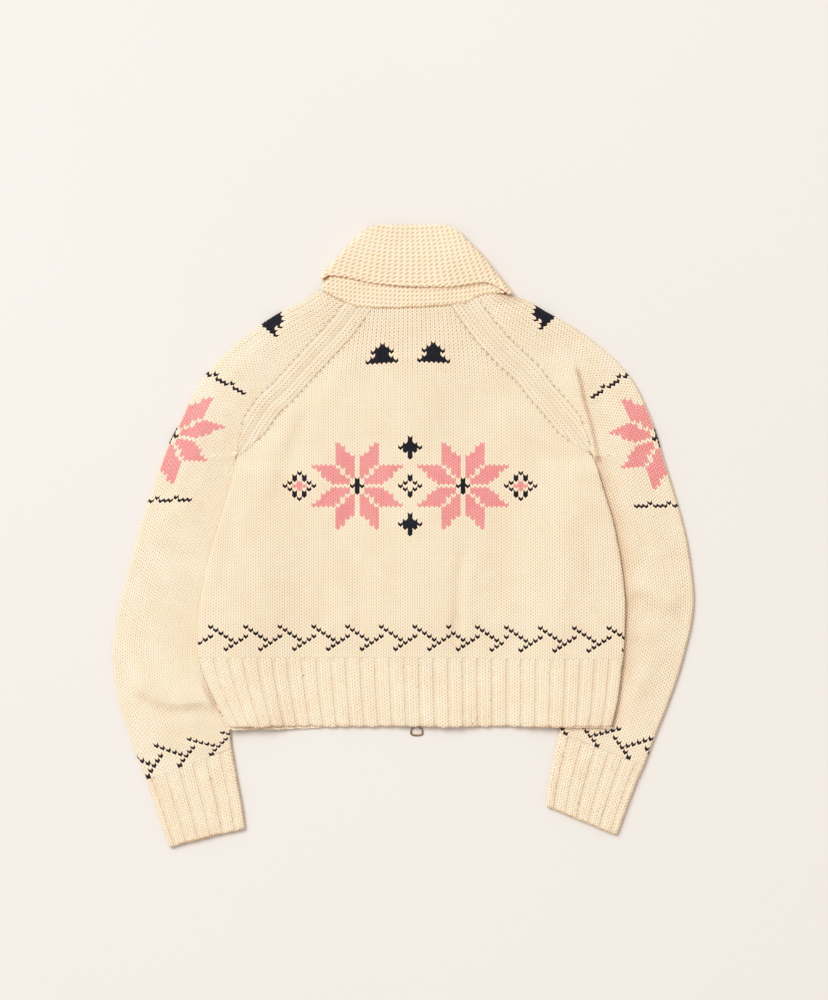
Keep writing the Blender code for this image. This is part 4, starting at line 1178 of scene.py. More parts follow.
def sleeve_piece(name, table, left):
    hold = []
    tube = Tube(table, ROW, UNDERARM_ROW, bow=-2.0 if left else 6.0,
                swell=sleeve_swell(FOLDS_LEFT if left else FOLDS_RIGHT, left, hold))
    hold.append(tube)
    line = seam_left if left else seam_right
    side = -1 if left else 1

    # where each row meets the band beside the seam
    seam_s = np.linspace(0, line.long, 400)
    seam_x, seam_y = line.at(seam_s)
    seam_wide = band_wide(seam_s, line.long)
    grid_v = np.arange(0, tube.rows + 0.25, 0.5)
    ends = tube.half(grid_v)[0] - 0.12
    for n, v in enumerate(grid_v):
        if tube.key(v) < UNDERARM_ROW + 0.05:
            total = float(tube.half(v)[0])
            d = np.linspace(max(total - 70.0, 8.0), total, 300)
            px, py = tube.point(d, np.full(d.shape, v), flat=True)
            apart = np.hypot(px[:, None] - seam_x, py[:, None] - seam_y)
            near = apart.argmin(axis=1)
            clear = apart[np.arange(len(d)), near] - seam_wide[near] - 0.2
            shut = np.where(clear < 0)[0]
            ends[n] = d[shut[0]] if len(shut) else total - 0.12

    def half_of(w):
        return np.interp(w, grid_v, ends)

    reach = 0.5 + half_of(np.arange(0, tube.rows + 0.5, 0.5)) / WALE
    most = int(np.ceil(reach.max())) + 1
    cols = knit_columns(-most, most + 1)

    def hi(w):
        return 0.5 + half_of(w) / WALE

    def lo(w):
        return 0.5 - half_of(w) / WALE

    def point(u, v):
        return tube.point((u - 0.5) * WALE, v)

    centre = int(round(tube.row_at(*((-276, 112) if left else (313, 117)))))
    tip = int(round(tube.row_at(*((-158, 284) if left else (170, 289)))))

    def paint(k, r):
        out = np.where(r < 11, zigzag(k, r, bottom=0, shift=2 if left else 6), 0)
        out = star(k, r, 0, centre, out)
        out = diamond(k, r, 0, centre, 1.2, out)
        for c in (centre - 19, centre + 19):
            out = np.where((r == c) & (np.abs(k) < 10) & (k % 4 != 2), 1, out)
            out = np.where((r == c + 1) & (np.abs(k) < 10) & (k % 4 == 2), 1, out)
        out = fir(k, r, 0, tip, out, (1, 3, 5, 5, 7, 5, 7, 9))
        return out

    def extra(x, y, u, v):
        dist, hole = near_seam(line, side, x, y, band_wide, first=12.0)
        t = tube.key(v)
        near = t < UNDERARM_ROW + 0.3
        dist, hole = np.where(near, dist, 99.0), np.where(near, hole, 0.0)
        under = np.where(t > UNDERARM_ROW, np.exp(-((half_of(np.clip(v, 0, tube.rows).ravel()).reshape(v.shape)
                                                    - np.abs(u - 0.5) * WALE) / 1.6) ** 2), 0.0)
        # painted shade in the troughs of the folds and at the foot of each crease's steep side
        painted_shade = 0.04 * np.clip(-folds(FOLDS_LEFT if left else FOLDS_RIGHT, x, y), 0, 4)
        painted_shade = painted_shade + creases(CREASES_LEFT if left else CREASES_RIGHT, x, y)[1] * (u > 0.5)
        # painted shade on the sleeve beside the body's edge: narrow on both sleeves, broad on the right
        beside = (side_left(y) - x if left else x - side_right(y)) / (4.5 if left else 5.5)
        wide = 0.0 if left else 0.32 * np.exp(-(np.maximum(beside, 0) / 3.4) ** 2) * soft((y + 215) / 55)
        painted_shade = painted_shade + ((0.03 if left else 0.08) * np.exp(-np.maximum(beside, 0) ** 2) + wide) * (y < UNDERARM_Y + 2) * (u > 0.5)
        # the wales show as dotted lines where they fan out at the neck: dips, with painted shade in them
        dots = 0.5 + 0.5 * np.cos(2 * math.pi * (v - RISE))
        border = np.exp(-((np.mod(u + 0.5, 1.0) - 0.5) / 0.13) ** 2) * soft((y - 212) / 62.0) * (u > 0.5)
        painted_shade = painted_shade + 0.60 * border * (0.12 + 0.88 * dots)
        # painted shade in the seam's groove, the holes of the decreases and the fold under the arm; 0.15 less on the
        # left sleeve and 0.04 less on the right, painted light
        return (-0.35 * np.exp(-(dist / 1.5) ** 2) - 0.9 * hole - 0.5 * under - 0.6 * border * (0.4 + 0.6 * dots),
                np.clip(0.05 * np.exp(-(dist / 1.4) ** 2) + 1.0 * hole + 0.08 * under + painted_shade - (0.15 if left else 0.04), -0.3, 1))

    main = shell(name + "_main", cols, tube.rows, lo, hi, point, paint=paint, extra=extra, flip=not left)
    strip_top = strip(name + "_s1", line, side, tube.top, -0.19, flip=left)
    strip_low = strip(name + "_s2", line, side, tube.bottom, -0.19, flip=not left, floor=True)
    total = float(tube.half(0.0)[0]) - 0.25
    around = np.concatenate([np.linspace(-total, total, 92)])
    place, way, _ = tube.point(around, np.full(around.shape, 0.02))
    ring = cord(name + "_join", place - way * 0.80, 0.62, 0.02, KNIT, closed=True)
    return joined(name, [main, strip_top, strip_low, ring]), tube


sleeve_left, tube_left = sleeve_piece("sleeve_left_knit", SLEEVE_LEFT, True)
sleeve_right, tube_right = sleeve_piece("sleeve_right_knit", SLEEVE_RIGHT, False)


def rib_columns(count):
    """Ribbing: for each repeat a sunken purl groove and two raised knitted wales."""
    places = [0, 0.13, 0.26, 0.3525, 0.445, 0.5375, 0.63, 0.7225, 0.815, 0.9075]
    rise = [1, 1, 1, 0.5, 0, 0.5, 1, 0.5, 0, 0.5]
    low = [-0.95, -2.00, -0.75, 0.10, -0.15, 0.22, -0.55, 0.22, -0.15, 0.10]
    top = [-0.40, -0.95, -0.75, 0.62, 0.35, 0.72, -0.05, 0.72, 0.35, 0.62]
    tl = [0, 0.25, 1, 1.25, 1.5, 1.75, 2, 2.25, 2.5, 2.75]
    tr = [0.25, 0.5, 1.25, 1.5, 1.75, 2, 2.25, 2.5, 2.75, 3]
    rl = [RISE, RISE + 0.7, RISE, RISE / 2, 0, RISE / 2, RISE, RISE / 2, 0, RISE / 2]
    rr = [RISE + 0.7, RISE + 1.4, RISE / 2, 0, RISE / 2, RISE, RISE / 2, 0, RISE / 2, RISE]
    u = np.array([k + p for k in range(count) for p in places] + [float(count)])
    every = lambda row, last: np.array(row * count + last, float)
    shift = np.repeat(np.arange(count) * 3.0, 10)
    return {"u": u, "rise": RISE * every(rise, [1]), "texl": every(tl, []) + shift, "texr": every(tr, []) + shift,
            "risel": every(rl, []), "riser": every(rr, []), "stitch": np.arange(count * 10) // 10,
            "coarse": np.array([k * 10 + c for k in range(count) for c in (0, 2, 6)] + [count * 10]),
            "high": np.stack([every(low, [-1.15]), every(top, [-0.9])])}


def rib_extra(rows, floor=False):
    def extra(x, y, u, v):
        groove = np.exp(-(((np.mod(u + 0.37, 1.0)) - 0.5) / 0.105) ** 2)
        foot = np.exp(-(np.clip(v, 0, 99) * 4.1 / 1.9) ** 2)
        head = np.exp(-((rows - np.clip(v, 0, rows)) * 4.1 / 4.0) ** 2)
        add = -0.9 * foot + 1.2 * groove * head
        if floor:
            add = add - 0.18
        # painted shade in the purl groove, strongest between its purl bumps, and at the rib's foot
        purl = 0.75 + 0.25 * np.cos(2 * math.pi * (v + 0.1))
        return add, np.clip(0.24 * groove * purl * (1 - 0.7 * head) + 0.12 * foot, 0, 1)
    return extra


def ragged(u, v, seed=0.0):
    """Uneven foot of a rib: wales reach lower than the grooves, none alike."""
    rib = np.cos(2 * math.pi * (u - 0.61)) * (0.55 + 0.35 * np.sin(3.7 * np.floor(u) + seed))
    slow = 0.8 * np.sin(0.83 * u + seed) + 0.6 * np.sin(2.3 * u + 1.7 * seed + 0.5)
    return (0.6 * rib + 0.55 * slow) * np.clip(1 - v / 2.5, 0, 1)


CUFF_RIBS = 13
FOLDS_CUFF_L = [(-233, -303, -228, -369, 4.0, -1.6), (-248, -300, -243, -368, 9, 1.2), (-290, -310, -270, -370, 14, 1.0)]
FOLDS_CUFF_R = [(205, -290, 192, -350, 4.0, -1.4), (222, -290, 212, -350, 9, 1.2), (262, -300, 244, -360, 14, 1.0)]


def cuff_piece(name, table, left):
    lines = FOLDS_CUFF_L if left else FOLDS_CUFF_R
    a, b = table[0], table[1]
    first = (a[0] + (b[0] - a[0]) * 0.012, a[1] + (b[1] - a[1]) * 0.012,
             a[2] + (b[2] - a[2]) * 0.012, a[3] + (b[3] - a[3]) * 0.012)
    rows = [first] + list(table[1:])

    def swell(x, y):
        return np.maximum(0.0, 0.5 + folds(lines, x, y)) * 0.9

    tube = Tube(rows, 4.1, -1, swell=swell)
    cols = rib_columns(CUFF_RIBS)

    def point(u, v):
        # the upper side of the mouth draws back a little and shows the lower one
        total, size, shut = tube.half(v)
        s = (u / CUFF_RIBS * 2 - 1) * (total - 0.15)
        f = np.clip(s / size, 0, 1)
        back = np.clip(1 - v / 3.0, 0, 1) * np.sin(np.pi * np.clip(f, 0, 1)) ** 0.6 * (0.25 + 0.35 * f)
        place, way, inner = tube.point(s, v + back + ragged(u, v, 1.0 if left else 3.0) / 4.1 * 0.8)
        lip = 0.9 * np.clip(1 - v / 2.0, 0, 1) * np.sin(np.pi * f)
        place[..., 2] += lip
        inner[..., 2] += lip
        return place, way, inner

    base = rib_extra(tube.rows)

    def extra(x, y, u, v):
        add, deep = base(x, y, u, v)
        under = u < CUFF_RIBS / 2
        # painted shade at the mouth of the cuff
        return np.where(under, add - 0.18, add), deep + 0.14 * np.exp(-(np.clip(v, 0, 99) * 4.1 / 2.4) ** 2)

    return shell(name, cols, tube.rows, lambda w: np.zeros(len(w)), lambda w: np.full(len(w), float(CUFF_RIBS)),
                 point, extra=extra, flip=not left, relief=1.0)


cuff_left = cuff_piece("cuff_left_rib", CUFF_LEFT, True)
cuff_right = cuff_piece("cuff_right_rib", CUFF_RIGHT, False)

# ------------------------------------------------------------------ hem
HEM_RIBS, HEM_ROWS = 29, 21


def hem_x(u, y):
    x0 = -261.0 + 540.0 * u / HEM_RIBS
    x = x0 + (side_left(y) + 0.2 + 261.0) * np.exp(-(x0 + 261.0) / 105.0)
    return x + (side_right(y) - 0.2 - 279.0) * np.exp(-(279.0 - x0) / 60.0)


def hem_back_point(u, v):
    y = -242.7 + v * (87.0 / HEM_ROWS) - ragged(u, v)
    x = hem_x(u, y)
    y = y - droop(x) * v / HEM_ROWS
    place, way = with_way(lambda p, q: level_back_top(p, q) + 0.25 + (CLOTH - 0.25) * side_drop(p, q), x, y)
    low = np.minimum(level_back_top(x, y), place[..., 2] - 0.25)
    return place, way, np.stack([x, y, low], -1)


def hem_front_point(u, v):
    y = -242.7 + v * (87.0 / HEM_ROWS)
    x = hem_x(u, y)
    foot = 4.0 * soft((-60 - x) / 120) + 2.0 * soft((x - 120) / 100)
    y = y - foot * (1 - v / HEM_ROWS) - ragged(u, v, 2.0) - droop(x) * v / HEM_ROWS
    place, way = with_way(front_low, x, y, flip=True)
    high = np.maximum(level_front(x, y) + CLOTH, place[..., 2] + 0.25)
    return place, way, np.stack([x, y, high], -1)


def full(value):
    return lambda w: np.full(len(w), float(value))


hem_back = shell("hem_back_rib", rib_columns(HEM_RIBS), HEM_ROWS, full(0), full(HEM_RIBS), hem_back_point,
                 extra=rib_extra(HEM_ROWS), relief=1.0)


def front_hem(name, side):
    edge = ZIP_X + side * FRONT_EDGE
    us = np.linspace(0, HEM_RIBS, 600)
    at = float(np.interp(edge, hem_x(us, -200.0), us))
    # the zip edge is straight, so the columns beside it are slid onto it
    cols = rib_columns(HEM_RIBS)

    def point(u, v):
        y = -242.7 + v * (87.0 / HEM_ROWS)
        here = hem_x(np.full(u.shape, at), y) - edge
        place, way, inner = hem_front_point(u, v)
        fix = here * np.exp(-np.abs(u - at) / 3.0)
        place[..., 0] -= fix
        inner[..., 0] -= fix
        return place, way, inner

    lo, hi = (full(0), full(at)) if side < 0 else (full(at), full(HEM_RIBS))
    return shell(name, cols, HEM_ROWS, lo, hi, point, extra=rib_extra(HEM_ROWS, floor=True), flip=True, relief=1.0)


hem_left, hem_right = front_hem("hem_front_left_rib", -1), front_hem("hem_front_right_rib", 1)

# ------------------------------------------------------------------ collar
COLLAR_PARTS = ((0, 5, 21), (5, 9, 3), (9, 23, 30), (23, 27, 3), (27, 32, 19))   # stations and columns
COLLAR_ROWS = 46
fold_line = Line([(r[0], r[1]) for r in COLLAR[9:24]])
fall_line = Line([(r[2], r[3]) for r in COLLAR[9:24]])


def neck_line(x, front):
    f_l = (x + 107.0) / 49.0
    y_l = 314 - 24 * f_l - 2.0 * 4 * f_l * (1 - f_l)
    f_r = (132.6 - x) / 54.6
    y_r = 305.4 - 10.4 * f_r + 6.0 * 4 * f_r * (1 - f_r)
    back_y = neck_y(x)
    front_y = np.where(x < ZIP_X, 290 - 65 * (x + 58) / (ZIP_X - FRONT_EDGE + 58),
                       295 - 70 * (78 - x) / (78 - ZIP_X - FRONT_EDGE))
    y = np.where(x < -58, y_l, np.where(x > 78, y_r, back_y))
    y_front = np.where(x < -58, y_l, np.where(x > 78, y_r, front_y))
    return y + (y_front - y) * front


def collar_station(u):
    """fold, fall, seam_x, out (degrees) at a column of the collar."""
    table = np.array(COLLAR, float)
    start, key = 0, np.zeros(u.shape)
    share = np.zeros(u.shape)
    for a, b, count in COLLAR_PARTS:
        f = np.clip((u - start) / count, 0, 1)
        inside = (u >= start - 1e-9)
        key = np.where(inside, a + (b - a) * f, key)
        if (a, b) == (9, 23):
            share = f
        start += count
    cols = [np.interp(key, np.arange(len(table)), table[:, c]) for c in range(6)]
    back = (key > 9) & (key < 23)
    q = 2 * share - 1
    g = 0.5 + 0.5 * (0.62 * (1.5 * q - 0.5 * q ** 3) + 0.38 * q)
    tx, ty = fold_line.at(g * fold_line.long)
    bx, by = fall_line.at(share * fall_line.long)
    fx, fy = np.where(back, tx, cols[0]), np.where(back, ty, cols[1])
    ex, ey = np.where(back, bx, cols[2]), np.where(back, by, cols[3])
    sx = np.where(back, -103 + 230 * share, cols[4])
    return fx, fy, ex, ey, sx, cols[5]


def over_wide(x, y):
    """As over_fronts, for the collar that bridges over the opening of the neck."""
    a, b = beyond(x, y, FOLD_LINE[0], FOLD_LINE[1]), beyond(x, y, FOLD_LINE[1], FOLD_LINE[2])
    deep = -(a + b + np.sqrt((a - b) ** 2 + 46.0 ** 2)) / 2
    return 1 - 0.8 * soft((deep + 8) / 75)


def collar_point(u, v):
    fx, fy, ex, ey, sx, out = collar_station(u)
    rad = np.radians(out)
    nz, nh = np.sin(rad), np.cos(rad)
    front = 1 - soft((nz - 0.7) / 0.3)
    sy = neck_line(sx, np.where(np.abs(out - 90) < 0.5, 0.0, 1.0)) + 0.6 + front
    dx, dy = fx - ex, fy - ey
    size = np.hypot(dx, dy)
    dx, dy = dx / size, dy / size
    hx, hy = dy, -dx
    q = v / COLLAR_ROWS
    scallop = 0.012 * np.cos(2 * math.pi * fall_lattice(ex, ey)[0]) * soft((q - 0.93) / 0.06)
    q = np.where(q > 0.93, q - scallop * (q - 0.93) / 0.07, q)
    stand = np.clip(q / 0.5, 0, 1)
    bend = np.clip((q - 0.5) / 0.055, 0, 1)
    fall = np.clip((q - 0.555) / 0.445, 0, 1)
    a = np.radians(-90 + 180 * bend)
    r = PITCH / 2
    on_bend, on_fall = q > 0.5, q > 0.555
    x = np.where(on_fall, fx + (ex - fx) * fall, np.where(on_bend, fx, sx + (fx - sx) * stand))
    y = np.where(on_fall, fy + (ey - fy) * fall, np.where(on_bend, fy, sy + (fy - sy) * stand))
    push = np.where(on_bend & ~on_fall, r * np.cos(a), 0.0)
    off = np.where(on_fall, 1.5 * PITCH, np.where(on_bend, PITCH + r * np.sin(a), PITCH / 2))
    az = np.where(on_fall, 1.0, np.where(on_bend, np.sin(a), -1.0))
    ax = np.where(on_bend & ~on_fall, np.cos(a), 0.0)
    half = CLOTH / 2
    level = np.where((np.abs(nh) > 0.02) | (nz < 0), 1.5 * PITCH + half,
                     PITCH * over_wide(x, y) * (1 + over_wide(x, y)) + half - PITCH / 2)
    # a soft roll: the back fall stands off the stand in its middle
    roll = np.clip(nz, 0, 1) * np.where(on_fall, 2.6 * np.sin(np.pi * np.clip(fall * 0.86 + 0.10, 0, 1)) ** 1.2,
                                        np.where(on_bend, 0.9 * np.sin(a / 2 + math.pi / 4) ** 2, 0.0))
    # the turned edge is pressed thin, and rounded off where it meets the top fold
    near_top = np.exp(-(np.hypot(x - fx, y - fy) / 15.0) ** 2)
    side = off * (0.62 - 0.36 * near_top)
    px = x + dx * push + hx * nh * side
    py = y + dy * push + hy * nh * side
    pz = level + nz * off + roll
    way = np.stack([dx * ax + hx * nh * az, dy * ax + hy * nh * az, nz * az], -1)
    way /= np.maximum(np.linalg.norm(way, axis=-1, keepdims=True), 1e-6)
    mid = np.stack([px, py, pz], -1)
    return mid + way * half, way, mid - way * half


def collar_columns(count):
    u = np.arange(count * 4 + 1) / 4.0
    i = np.arange(count * 4 + 1)
    zero = np.zeros(len(i))
    return {"u": u, "rise": zero, "texl": u[:-1], "texr": u[1:], "risel": zero[:-1], "riser": zero[1:],
            "stitch": np.floor(u[:-1] + 0.1).astype(int), "coarse": np.arange(0, len(u), 4),
            "high": np.zeros((2, len(i)))}


def fall_lattice(x, y):
    """Columns and courses of the collar's fall: upright, a little fanned, not following its turned sides."""
    across, down = x - 8.4, 392.0 - y
    return (across / (6.16 + 0.0285 * down) + 0.05 * np.sin(down / 9.0 + across / 21.0),
            (down + 0.0013 * across ** 2) / 5.2 + 0.06 * np.sin(across / 13.0 + down / 31.0))


def stand_lattice(x, y):
    return (x - 8.4) / 5.6, (392.0 - y + 0.0009 * (x - 8.4) ** 2) / 5.3


def pit(u, w):
    """Depth of a pit of the collar's pattern, 0 to 1, as in its wool."""
    a = 2 * np.mod(u, 1.0) - 1
    t = 2 * np.mod(w + PIT_LEAN * a, 1.0) - 1
    return (1 - a * a) ** 0.85 * (1 - t * t) ** 1.7


def lay_pattern(mesh):
    """Writes the pattern's places into the collar's uv map."""
    ids = np.zeros(len(mesh.loops), np.int32)
    mesh.loops.foreach_get("vertex_index", ids)
    co = np.zeros(len(mesh.vertices) * 3, np.float32)
    mesh.vertices.foreach_get("co", co)
    x, y = (co.reshape(-1, 3)[ids, :2] / MM).T
    kind, corners = np.zeros(len(mesh.polygons), np.int32), np.zeros(len(mesh.polygons), np.int32)
    mesh.polygons.foreach_get("material_index", kind)
    mesh.polygons.foreach_get("loop_total", corners)
    on_stand = np.repeat(kind, corners)[:, None] == 1
    uv = np.where(on_stand, np.stack(stand_lattice(x, y), -1), np.stack(fall_lattice(x, y), -1))
    mesh.uv_layers["Knit"].data.foreach_set("uv", uv.astype(np.float32).ravel())


def collar_extra(x, y, u, v):
    edge = np.exp(-((COLLAR_ROWS - v) * 5.2 / 4.0) ** 2)
    fx, fy, ex, ey, sx, out = collar_station(u)
    floor = np.where(np.sin(np.radians(out)) < 0, 1.0, 0.0)
    return 0.15 - 0.35 * edge - 0.70 * floor - 0.80 * pit(*fall_lattice(x, y)) * (1 - edge), 0.0 * x


def stand_high(place, j):
    near = np.clip((COLLAR_ROWS * 0.8 - j) / 8.0, 0, 1)
    return near * (0.15 - 0.75 * pit(*stand_lattice(place[..., 0], place[..., 1])))


collar = shell("collar_knit", collar_columns(sum(c for _, _, c in COLLAR_PARTS)), COLLAR_ROWS,
               full(0), full(sum(c for _, _, c in COLLAR_PARTS)), collar_point, extra=collar_extra,
               fine_inner=True, inner_high=stand_high, fade_ends=True, mats=LOZENGE)

lay_pattern(collar.data)
neck_x = np.arange(-100.0, 125.0, 2.4)
neck_at = neck_line(neck_x, 0.0) + 0.35 + 0.35 * np.sin(neck_x / 4.7) + 0.25 * np.sin(neck_x / 2.1 + 1.0)
neck_fold = over_wide(neck_x, neck_at)
under_neck = np.where(neck_x < -58, tube_left.top(neck_x, neck_at - 1.5),
                      np.where(neck_x > 78, tube_right.top(neck_x, neck_at - 1.5), back_top(neck_x, neck_at - 1.5)))
neck_high = (PITCH * neck_fold * (1 + neck_fold) + CLOTH + under_neck) / 2 - 0.25
# the seam's yarn carries 0.42 painted shade, the shade of the neck seam's groove
neck_seam = cord("collar_seam", np.stack([neck_x, neck_at, neck_high + 0.15], -1), 1.1, 0.42, LOZENGE)
collar = joined("collar_knit", [collar, neck_seam])

for piece, node in ((sleeve_left, "sleeve_left"), (sleeve_right, "sleeve_right"), (cuff_left, "cuff_left"),
                    (cuff_right, "cuff_right"), (hem_back, "hem_rib_back"), (hem_left, "hem_rib_front_left"),
                    (hem_right, "hem_rib_front_right"), (collar, "collar")):
    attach(piece, "garment")
    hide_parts(node)


# ------------------------------------------------------------------ zip
def brass():
    mat = bpy.data.materials.new("antique_brass_aged")
    net = Net(mat)
    obj = net.node("ShaderNodeTexCoord").outputs["Object"]
    blotch = net.noise(900.0, 3.0, 0.6, obj)
    fine = net.noise(3800.0, 2.0, 0.5, obj)
    worn = net.smooth(net.node("ShaderNodeNewGeometry").outputs["Pointiness"], 0.49, 0.58)
    dull = net.mix(net.smooth(blotch, 0.35, 0.68), (0.165, 0.108, 0.048, 1), (0.430, 0.300, 0.135, 1))
    net.put(net.bsdf.inputs["Base Color"], net.mix(worn, dull, (0.62, 0.46, 0.23, 1)))
    net.bsdf.inputs["Metallic"].default_value = 1.0
    net.put(net.bsdf.inputs["Roughness"], net.smooth(blotch, 0.3, 0.7, 0.50, 0.32))
    bump = net.node("ShaderNodeBump")
    bump.inputs["Strength"].default_value = 0.25
    bump.inputs["Distance"].default_value = 0.0002
    net.put(bump.inputs["Height"], fine)
    net.put(net.bsdf.inputs["Normal"], bump.outputs[0])
    return mat


def twill():
    mat = bpy.data.materials.new("zip_tape_twill")
    net = Net(mat)
    uv = net.node("ShaderNodeUVMap", uv_map="Knit").outputs[0]
    split = net.node("ShaderNodeSeparateXYZ")
    net.put(split.inputs[0], uv)
    u, w = split.outputs[0], split.outputs[1]
    warp = net.math("SINE", net.math("MULTIPLY_ADD", u, 6.2832, net.math("MULTIPLY", w, 3.1416)))
    weft = net.math("SINE", net.math("MULTIPLY", w, 6.2832))
    weave = net.math("MULTIPLY_ADD", warp, 0.6, net.math("MULTIPLY", weft, 0.4))
    tone = net.smooth(weave, -0.9, 0.9)
    net.put(net.bsdf.inputs["Base Color"], net.mix(tone, (0.46, 0.33, 0.19, 1), (0.66, 0.52, 0.34, 1)))
    net.bsdf.inputs["Roughness"].default_value = 0.82
    net.bsdf.inputs["Specular IOR Level"].default_value = 0.25
    bump = net.node("ShaderNodeBump")
    bump.inputs["Strength"].default_value = 0.5
    bump.inputs["Distance"].default_value = 0.0002
    net.put(bump.inputs["Height"], weave)
    net.put(net.bsdf.inputs["Normal"], bump.outputs[0])
    return mat


BRASS, TWILL = brass(), [twill()]


def zip_lift(y):
    return PITCH * over_fall(np.full(np.shape(y), ZIP_X), np.asarray(y, float))


def tape_piece(name, side):
    """Woven tape: flat ribbon with a corded edge at the teeth."""
    across = np.array([3.3, 4.1, 4.9, 7.0, 9.5, 12.0, 14.5, 16.2, 17.0])
    thick = np.array([0.42, 0.58, 0.34, 0.26, 0.26, 0.26, 0.26, 0.28, 0.22])
    ys = np.arange(-242.0, 222.1, 4.0)
    section = [(a, t) for a, t in zip(across, thick)] + [(a, -t) for a, t in zip(across[::-1], thick[::-1])]
    n, m = len(section), len(ys)
    verts, uvs = [], []
    for y in ys:
        lift = float(zip_lift(y))
        for a, t in section:
            verts.append((ZIP_X + side * a, y, TAPE_Z + 0.3 + lift + t))
            uvs.append((a / 0.62, y / 0.62))
    faces, at = [], []
    for r in range(m - 1):
        for c in range(n):
            d = (c + 1) % n
            f = [r * n + c, r * n + d, (r + 1) * n + d, (r + 1) * n + c]
            faces.append(f if side < 0 else f[::-1])
    for r, turn in ((0, False), (m - 1, True)):
        f = [r * n + c for c in range(n)]
        faces.append(f if (side < 0) == turn else f[::-1])
    mesh = bpy.data.meshes.new(name)
    mesh.from_pydata([tuple(c * MM for c in v) for v in verts], [], faces)
    layer = mesh.uv_layers.new(name="Knit")
    for loop in mesh.loops:
        layer.data[loop.index].uv = uvs[loop.vertex_index]
    mesh.shade_smooth()
    mesh.materials.append(TWILL[0])
    obj = bpy.data.objects.new(name, mesh)
    bpy.context.scene.collection.objects.link(obj)
    return obj


def teeth_piece(name, side):
    """Row of metal teeth: each grips the tape and ends in a rounded nub."""
    outline = [(3.0, 0.62), (1.0, 0.62), (0.3, 0.72), (-0.55, 0.60), (-0.95, 0.28)]
    ring = outline + [(x, -y) for x, y in outline[::-1]]
    levels = [(-1.10, 0.82), (-0.80, 1.0), (0.80, 1.0), (1.10, 0.82)]
    verts, faces = [], []
    start = -230.2 + 1.0 + (1.5 if side > 0 else 0.0)
    for y in np.arange(start, 221.0, 3.0):
        base, n = len(verts), len(ring)
        z = 3.9 + float(zip_lift(y))
        for dz, scale in levels:
            for a, b in ring:
                verts.append((ZIP_X + side * (1.0 + (a - 1.0) * scale + 0.0), y + b * scale, z + dz))
        for k in range(len(levels) - 1):
            for c in range(n):
                d = (c + 1) % n
                f = [base + k * n + c, base + k * n + d, base + (k + 1) * n + d, base + (k + 1) * n + c]
                faces.append(f if side > 0 else f[::-1])
        low, high = [base + c for c in range(n)], [base + (len(levels) - 1) * n + c for c in range(n)]
        faces.append(low[::-1] if side > 0 else low)
        faces.append(high if side > 0 else high[::-1])
    mesh = bpy.data.meshes.new(name)
    mesh.from_pydata([tuple(c * MM for c in v) for v in verts], [], faces)
    mesh.materials.append(BRASS)
    obj = bpy.data.objects.new(name, mesh)
    bpy.context.scene.collection.objects.link(obj)
    return obj


tape_left, tape_right = tape_piece("zip_tape_left_woven", -1), tape_piece("zip_tape_right_woven", 1)
teeth_left, teeth_right = teeth_piece("zip_teeth_left", -1), teeth_piece("zip_teeth_right", 1)
for piece, node, slot_name in ((tape_left, "zip_tape_left", "zip_tape"), (tape_right, "zip_tape_right", "zip_tape"),
                               (teeth_left, "zip_chain_left", "antique_brass"),
                               (teeth_right, "zip_chain_right", "antique_brass")):
    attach(piece, "garment")
    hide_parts(node)
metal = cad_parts["zip_slider"]
metal.data.materials.clear()
metal.data.materials.append(BRASS)
metal.data.shade_smooth()
metal.data.set_sharp_from_angle(angle=math.radians(40))

PULL_HALF = [(0, 0), (2.6, 0), (3.0, -0.5), (3.2, -2.2), (4.2, -3.1), (6.3, -3.2), (6.9, -3.9), (7.1, -6.0),
             (7.35, -8.4), (7.2, -9.9), (6.2, -10.9), (4.0, -11.6), (1.9, -12.0), (0, -12.1)]


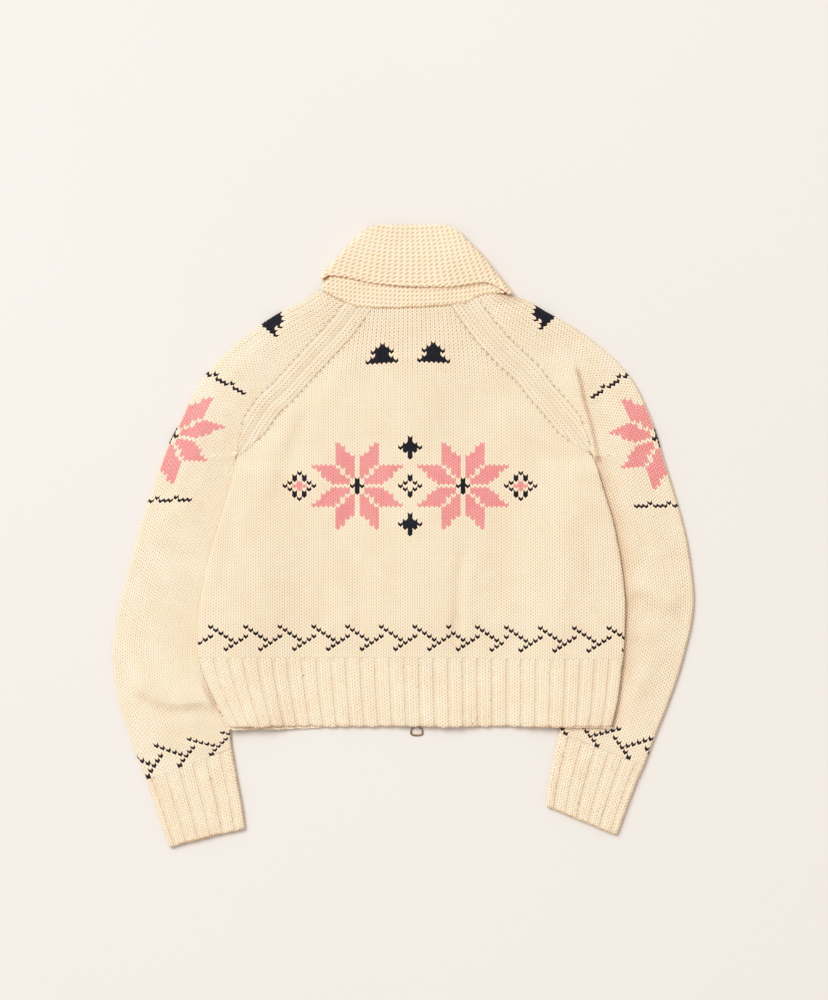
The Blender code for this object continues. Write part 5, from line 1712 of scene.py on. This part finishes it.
def pull_piece():
    """Cast stirrup: thin bar in the slider's eye, widening to a flat foot."""
    loop = np.array(PULL_HALF + [(-x, y) for x, y in PULL_HALF[-2:0:-1]], float)
    n = len(loop)
    pts = []
    for k in range(n):
        a, b, c, d = loop[k - 1], loop[k], loop[(k + 1) % n], loop[(k + 2) % n]
        for q in range(5):
            t = q / 5
            pts.append(0.5 * (2 * b + (c - a) * t + (2 * a - 5 * b + 4 * c - d) * t * t + (3 * b - a - 3 * c + d) * t ** 3))
    pts = np.array(pts)
    way = np.roll(pts, -1, axis=0) - np.roll(pts, 1, axis=0)
    way /= np.linalg.norm(way, axis=1, keepdims=True)
    out = np.stack([way[:, 1], -way[:, 0]], 1)
    foot = soft((-pts[:, 1] - 2.0) / 8.5)
    wide, tall = 0.72 + 0.42 * foot, 0.72 + 0.02 * foot
    tilt = math.radians(PULL_REST)
    sides, verts, faces = 12, [], []
    for k, (p, o) in enumerate(zip(pts, out)):
        for q in range(sides):
            a = 2 * math.pi * q / sides
            e, f = math.cos(a), math.sin(a)
            e, f = math.copysign(abs(e) ** 0.8, e), math.copysign(abs(f) ** 0.8, f)
            x, y, z = p[0] + o[0] * wide[k] * e, p[1] + o[1] * wide[k] * e, tall[k] * f
            y, z = y * math.cos(tilt) - z * math.sin(tilt), y * math.sin(tilt) + z * math.cos(tilt)
            verts.append(((PULL_AXIS[0] + x) * MM, (PULL_AXIS[1] + y) * MM, (PULL_AXIS[2] + z) * MM))
    m = len(pts)
    for k in range(m):
        for q in range(sides):
            r = (q + 1) % sides
            faces.append((k * sides + q, k * sides + r, ((k + 1) % m) * sides + r, ((k + 1) % m) * sides + q))
    mesh = bpy.data.meshes.new("zip_pull_stirrup")
    mesh.from_pydata(verts, [], faces)
    mesh.shade_smooth()
    mesh.materials.append(BRASS)
    obj = bpy.data.objects.new("zip_pull_stirrup", mesh)
    bpy.context.scene.collection.objects.link(obj)
    return obj


pull = pull_piece()
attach(pull, "pull")
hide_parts("zip_pull")

# ------------------------------------------------------------------ floor and light
floor_mat = bpy.data.materials.new("floor_paper")
paper = Net(floor_mat)
spread = paper.noise(1.1, 2.0, 0.5, paper.node("ShaderNodeTexCoord").outputs["Object"])
paper.put(paper.bsdf.inputs["Base Color"], paper.mix(paper.smooth(spread, 0.35, 0.65), (0.731, 0.674, 0.620, 1), (0.744, 0.687, 0.633, 1)))
paper.bsdf.inputs["Roughness"].default_value = 0.95
paper.bsdf.inputs["Specular IOR Level"].default_value = 0.1
floor_mesh = bpy.data.meshes.new("floor")
floor_mesh.from_pydata([(-6, -6, 0), (6, -6, 0), (6, 6, 0), (-6, 6, 0)], [], [(0, 1, 2, 3)])
floor_mesh.materials.append(floor_mat)
floor = bpy.data.objects.new("floor", floor_mesh)
floor.location = (0, 0, -0.0003)
bpy.context.scene.collection.objects.link(floor)


def lamp(name, place, size, power, colour, aim=(0.0, 0.0, 0.0)):
    data = bpy.data.lights.new(name, "AREA")
    data.shape, data.size, data.energy, data.color = "SQUARE", size, power, colour
    obj = bpy.data.objects.new(name, data)
    obj.location = place
    obj.rotation_euler = (Vector(aim) - Vector(place)).to_track_quat("-Z", "Y").to_euler()
    bpy.context.scene.collection.objects.link(obj)


lamp("key", (-4.35, 4.35, 7.5), 5.0, 870.0, (0.985, 0.995, 1.015))
world = bpy.data.worlds.new("studio")
world.use_nodes = True
world.node_tree.nodes["Background"].inputs[0].default_value = (1.0, 0.958, 0.912, 1)
world.node_tree.nodes["Background"].inputs[1].default_value = 0.705
bpy.context.scene.world = world
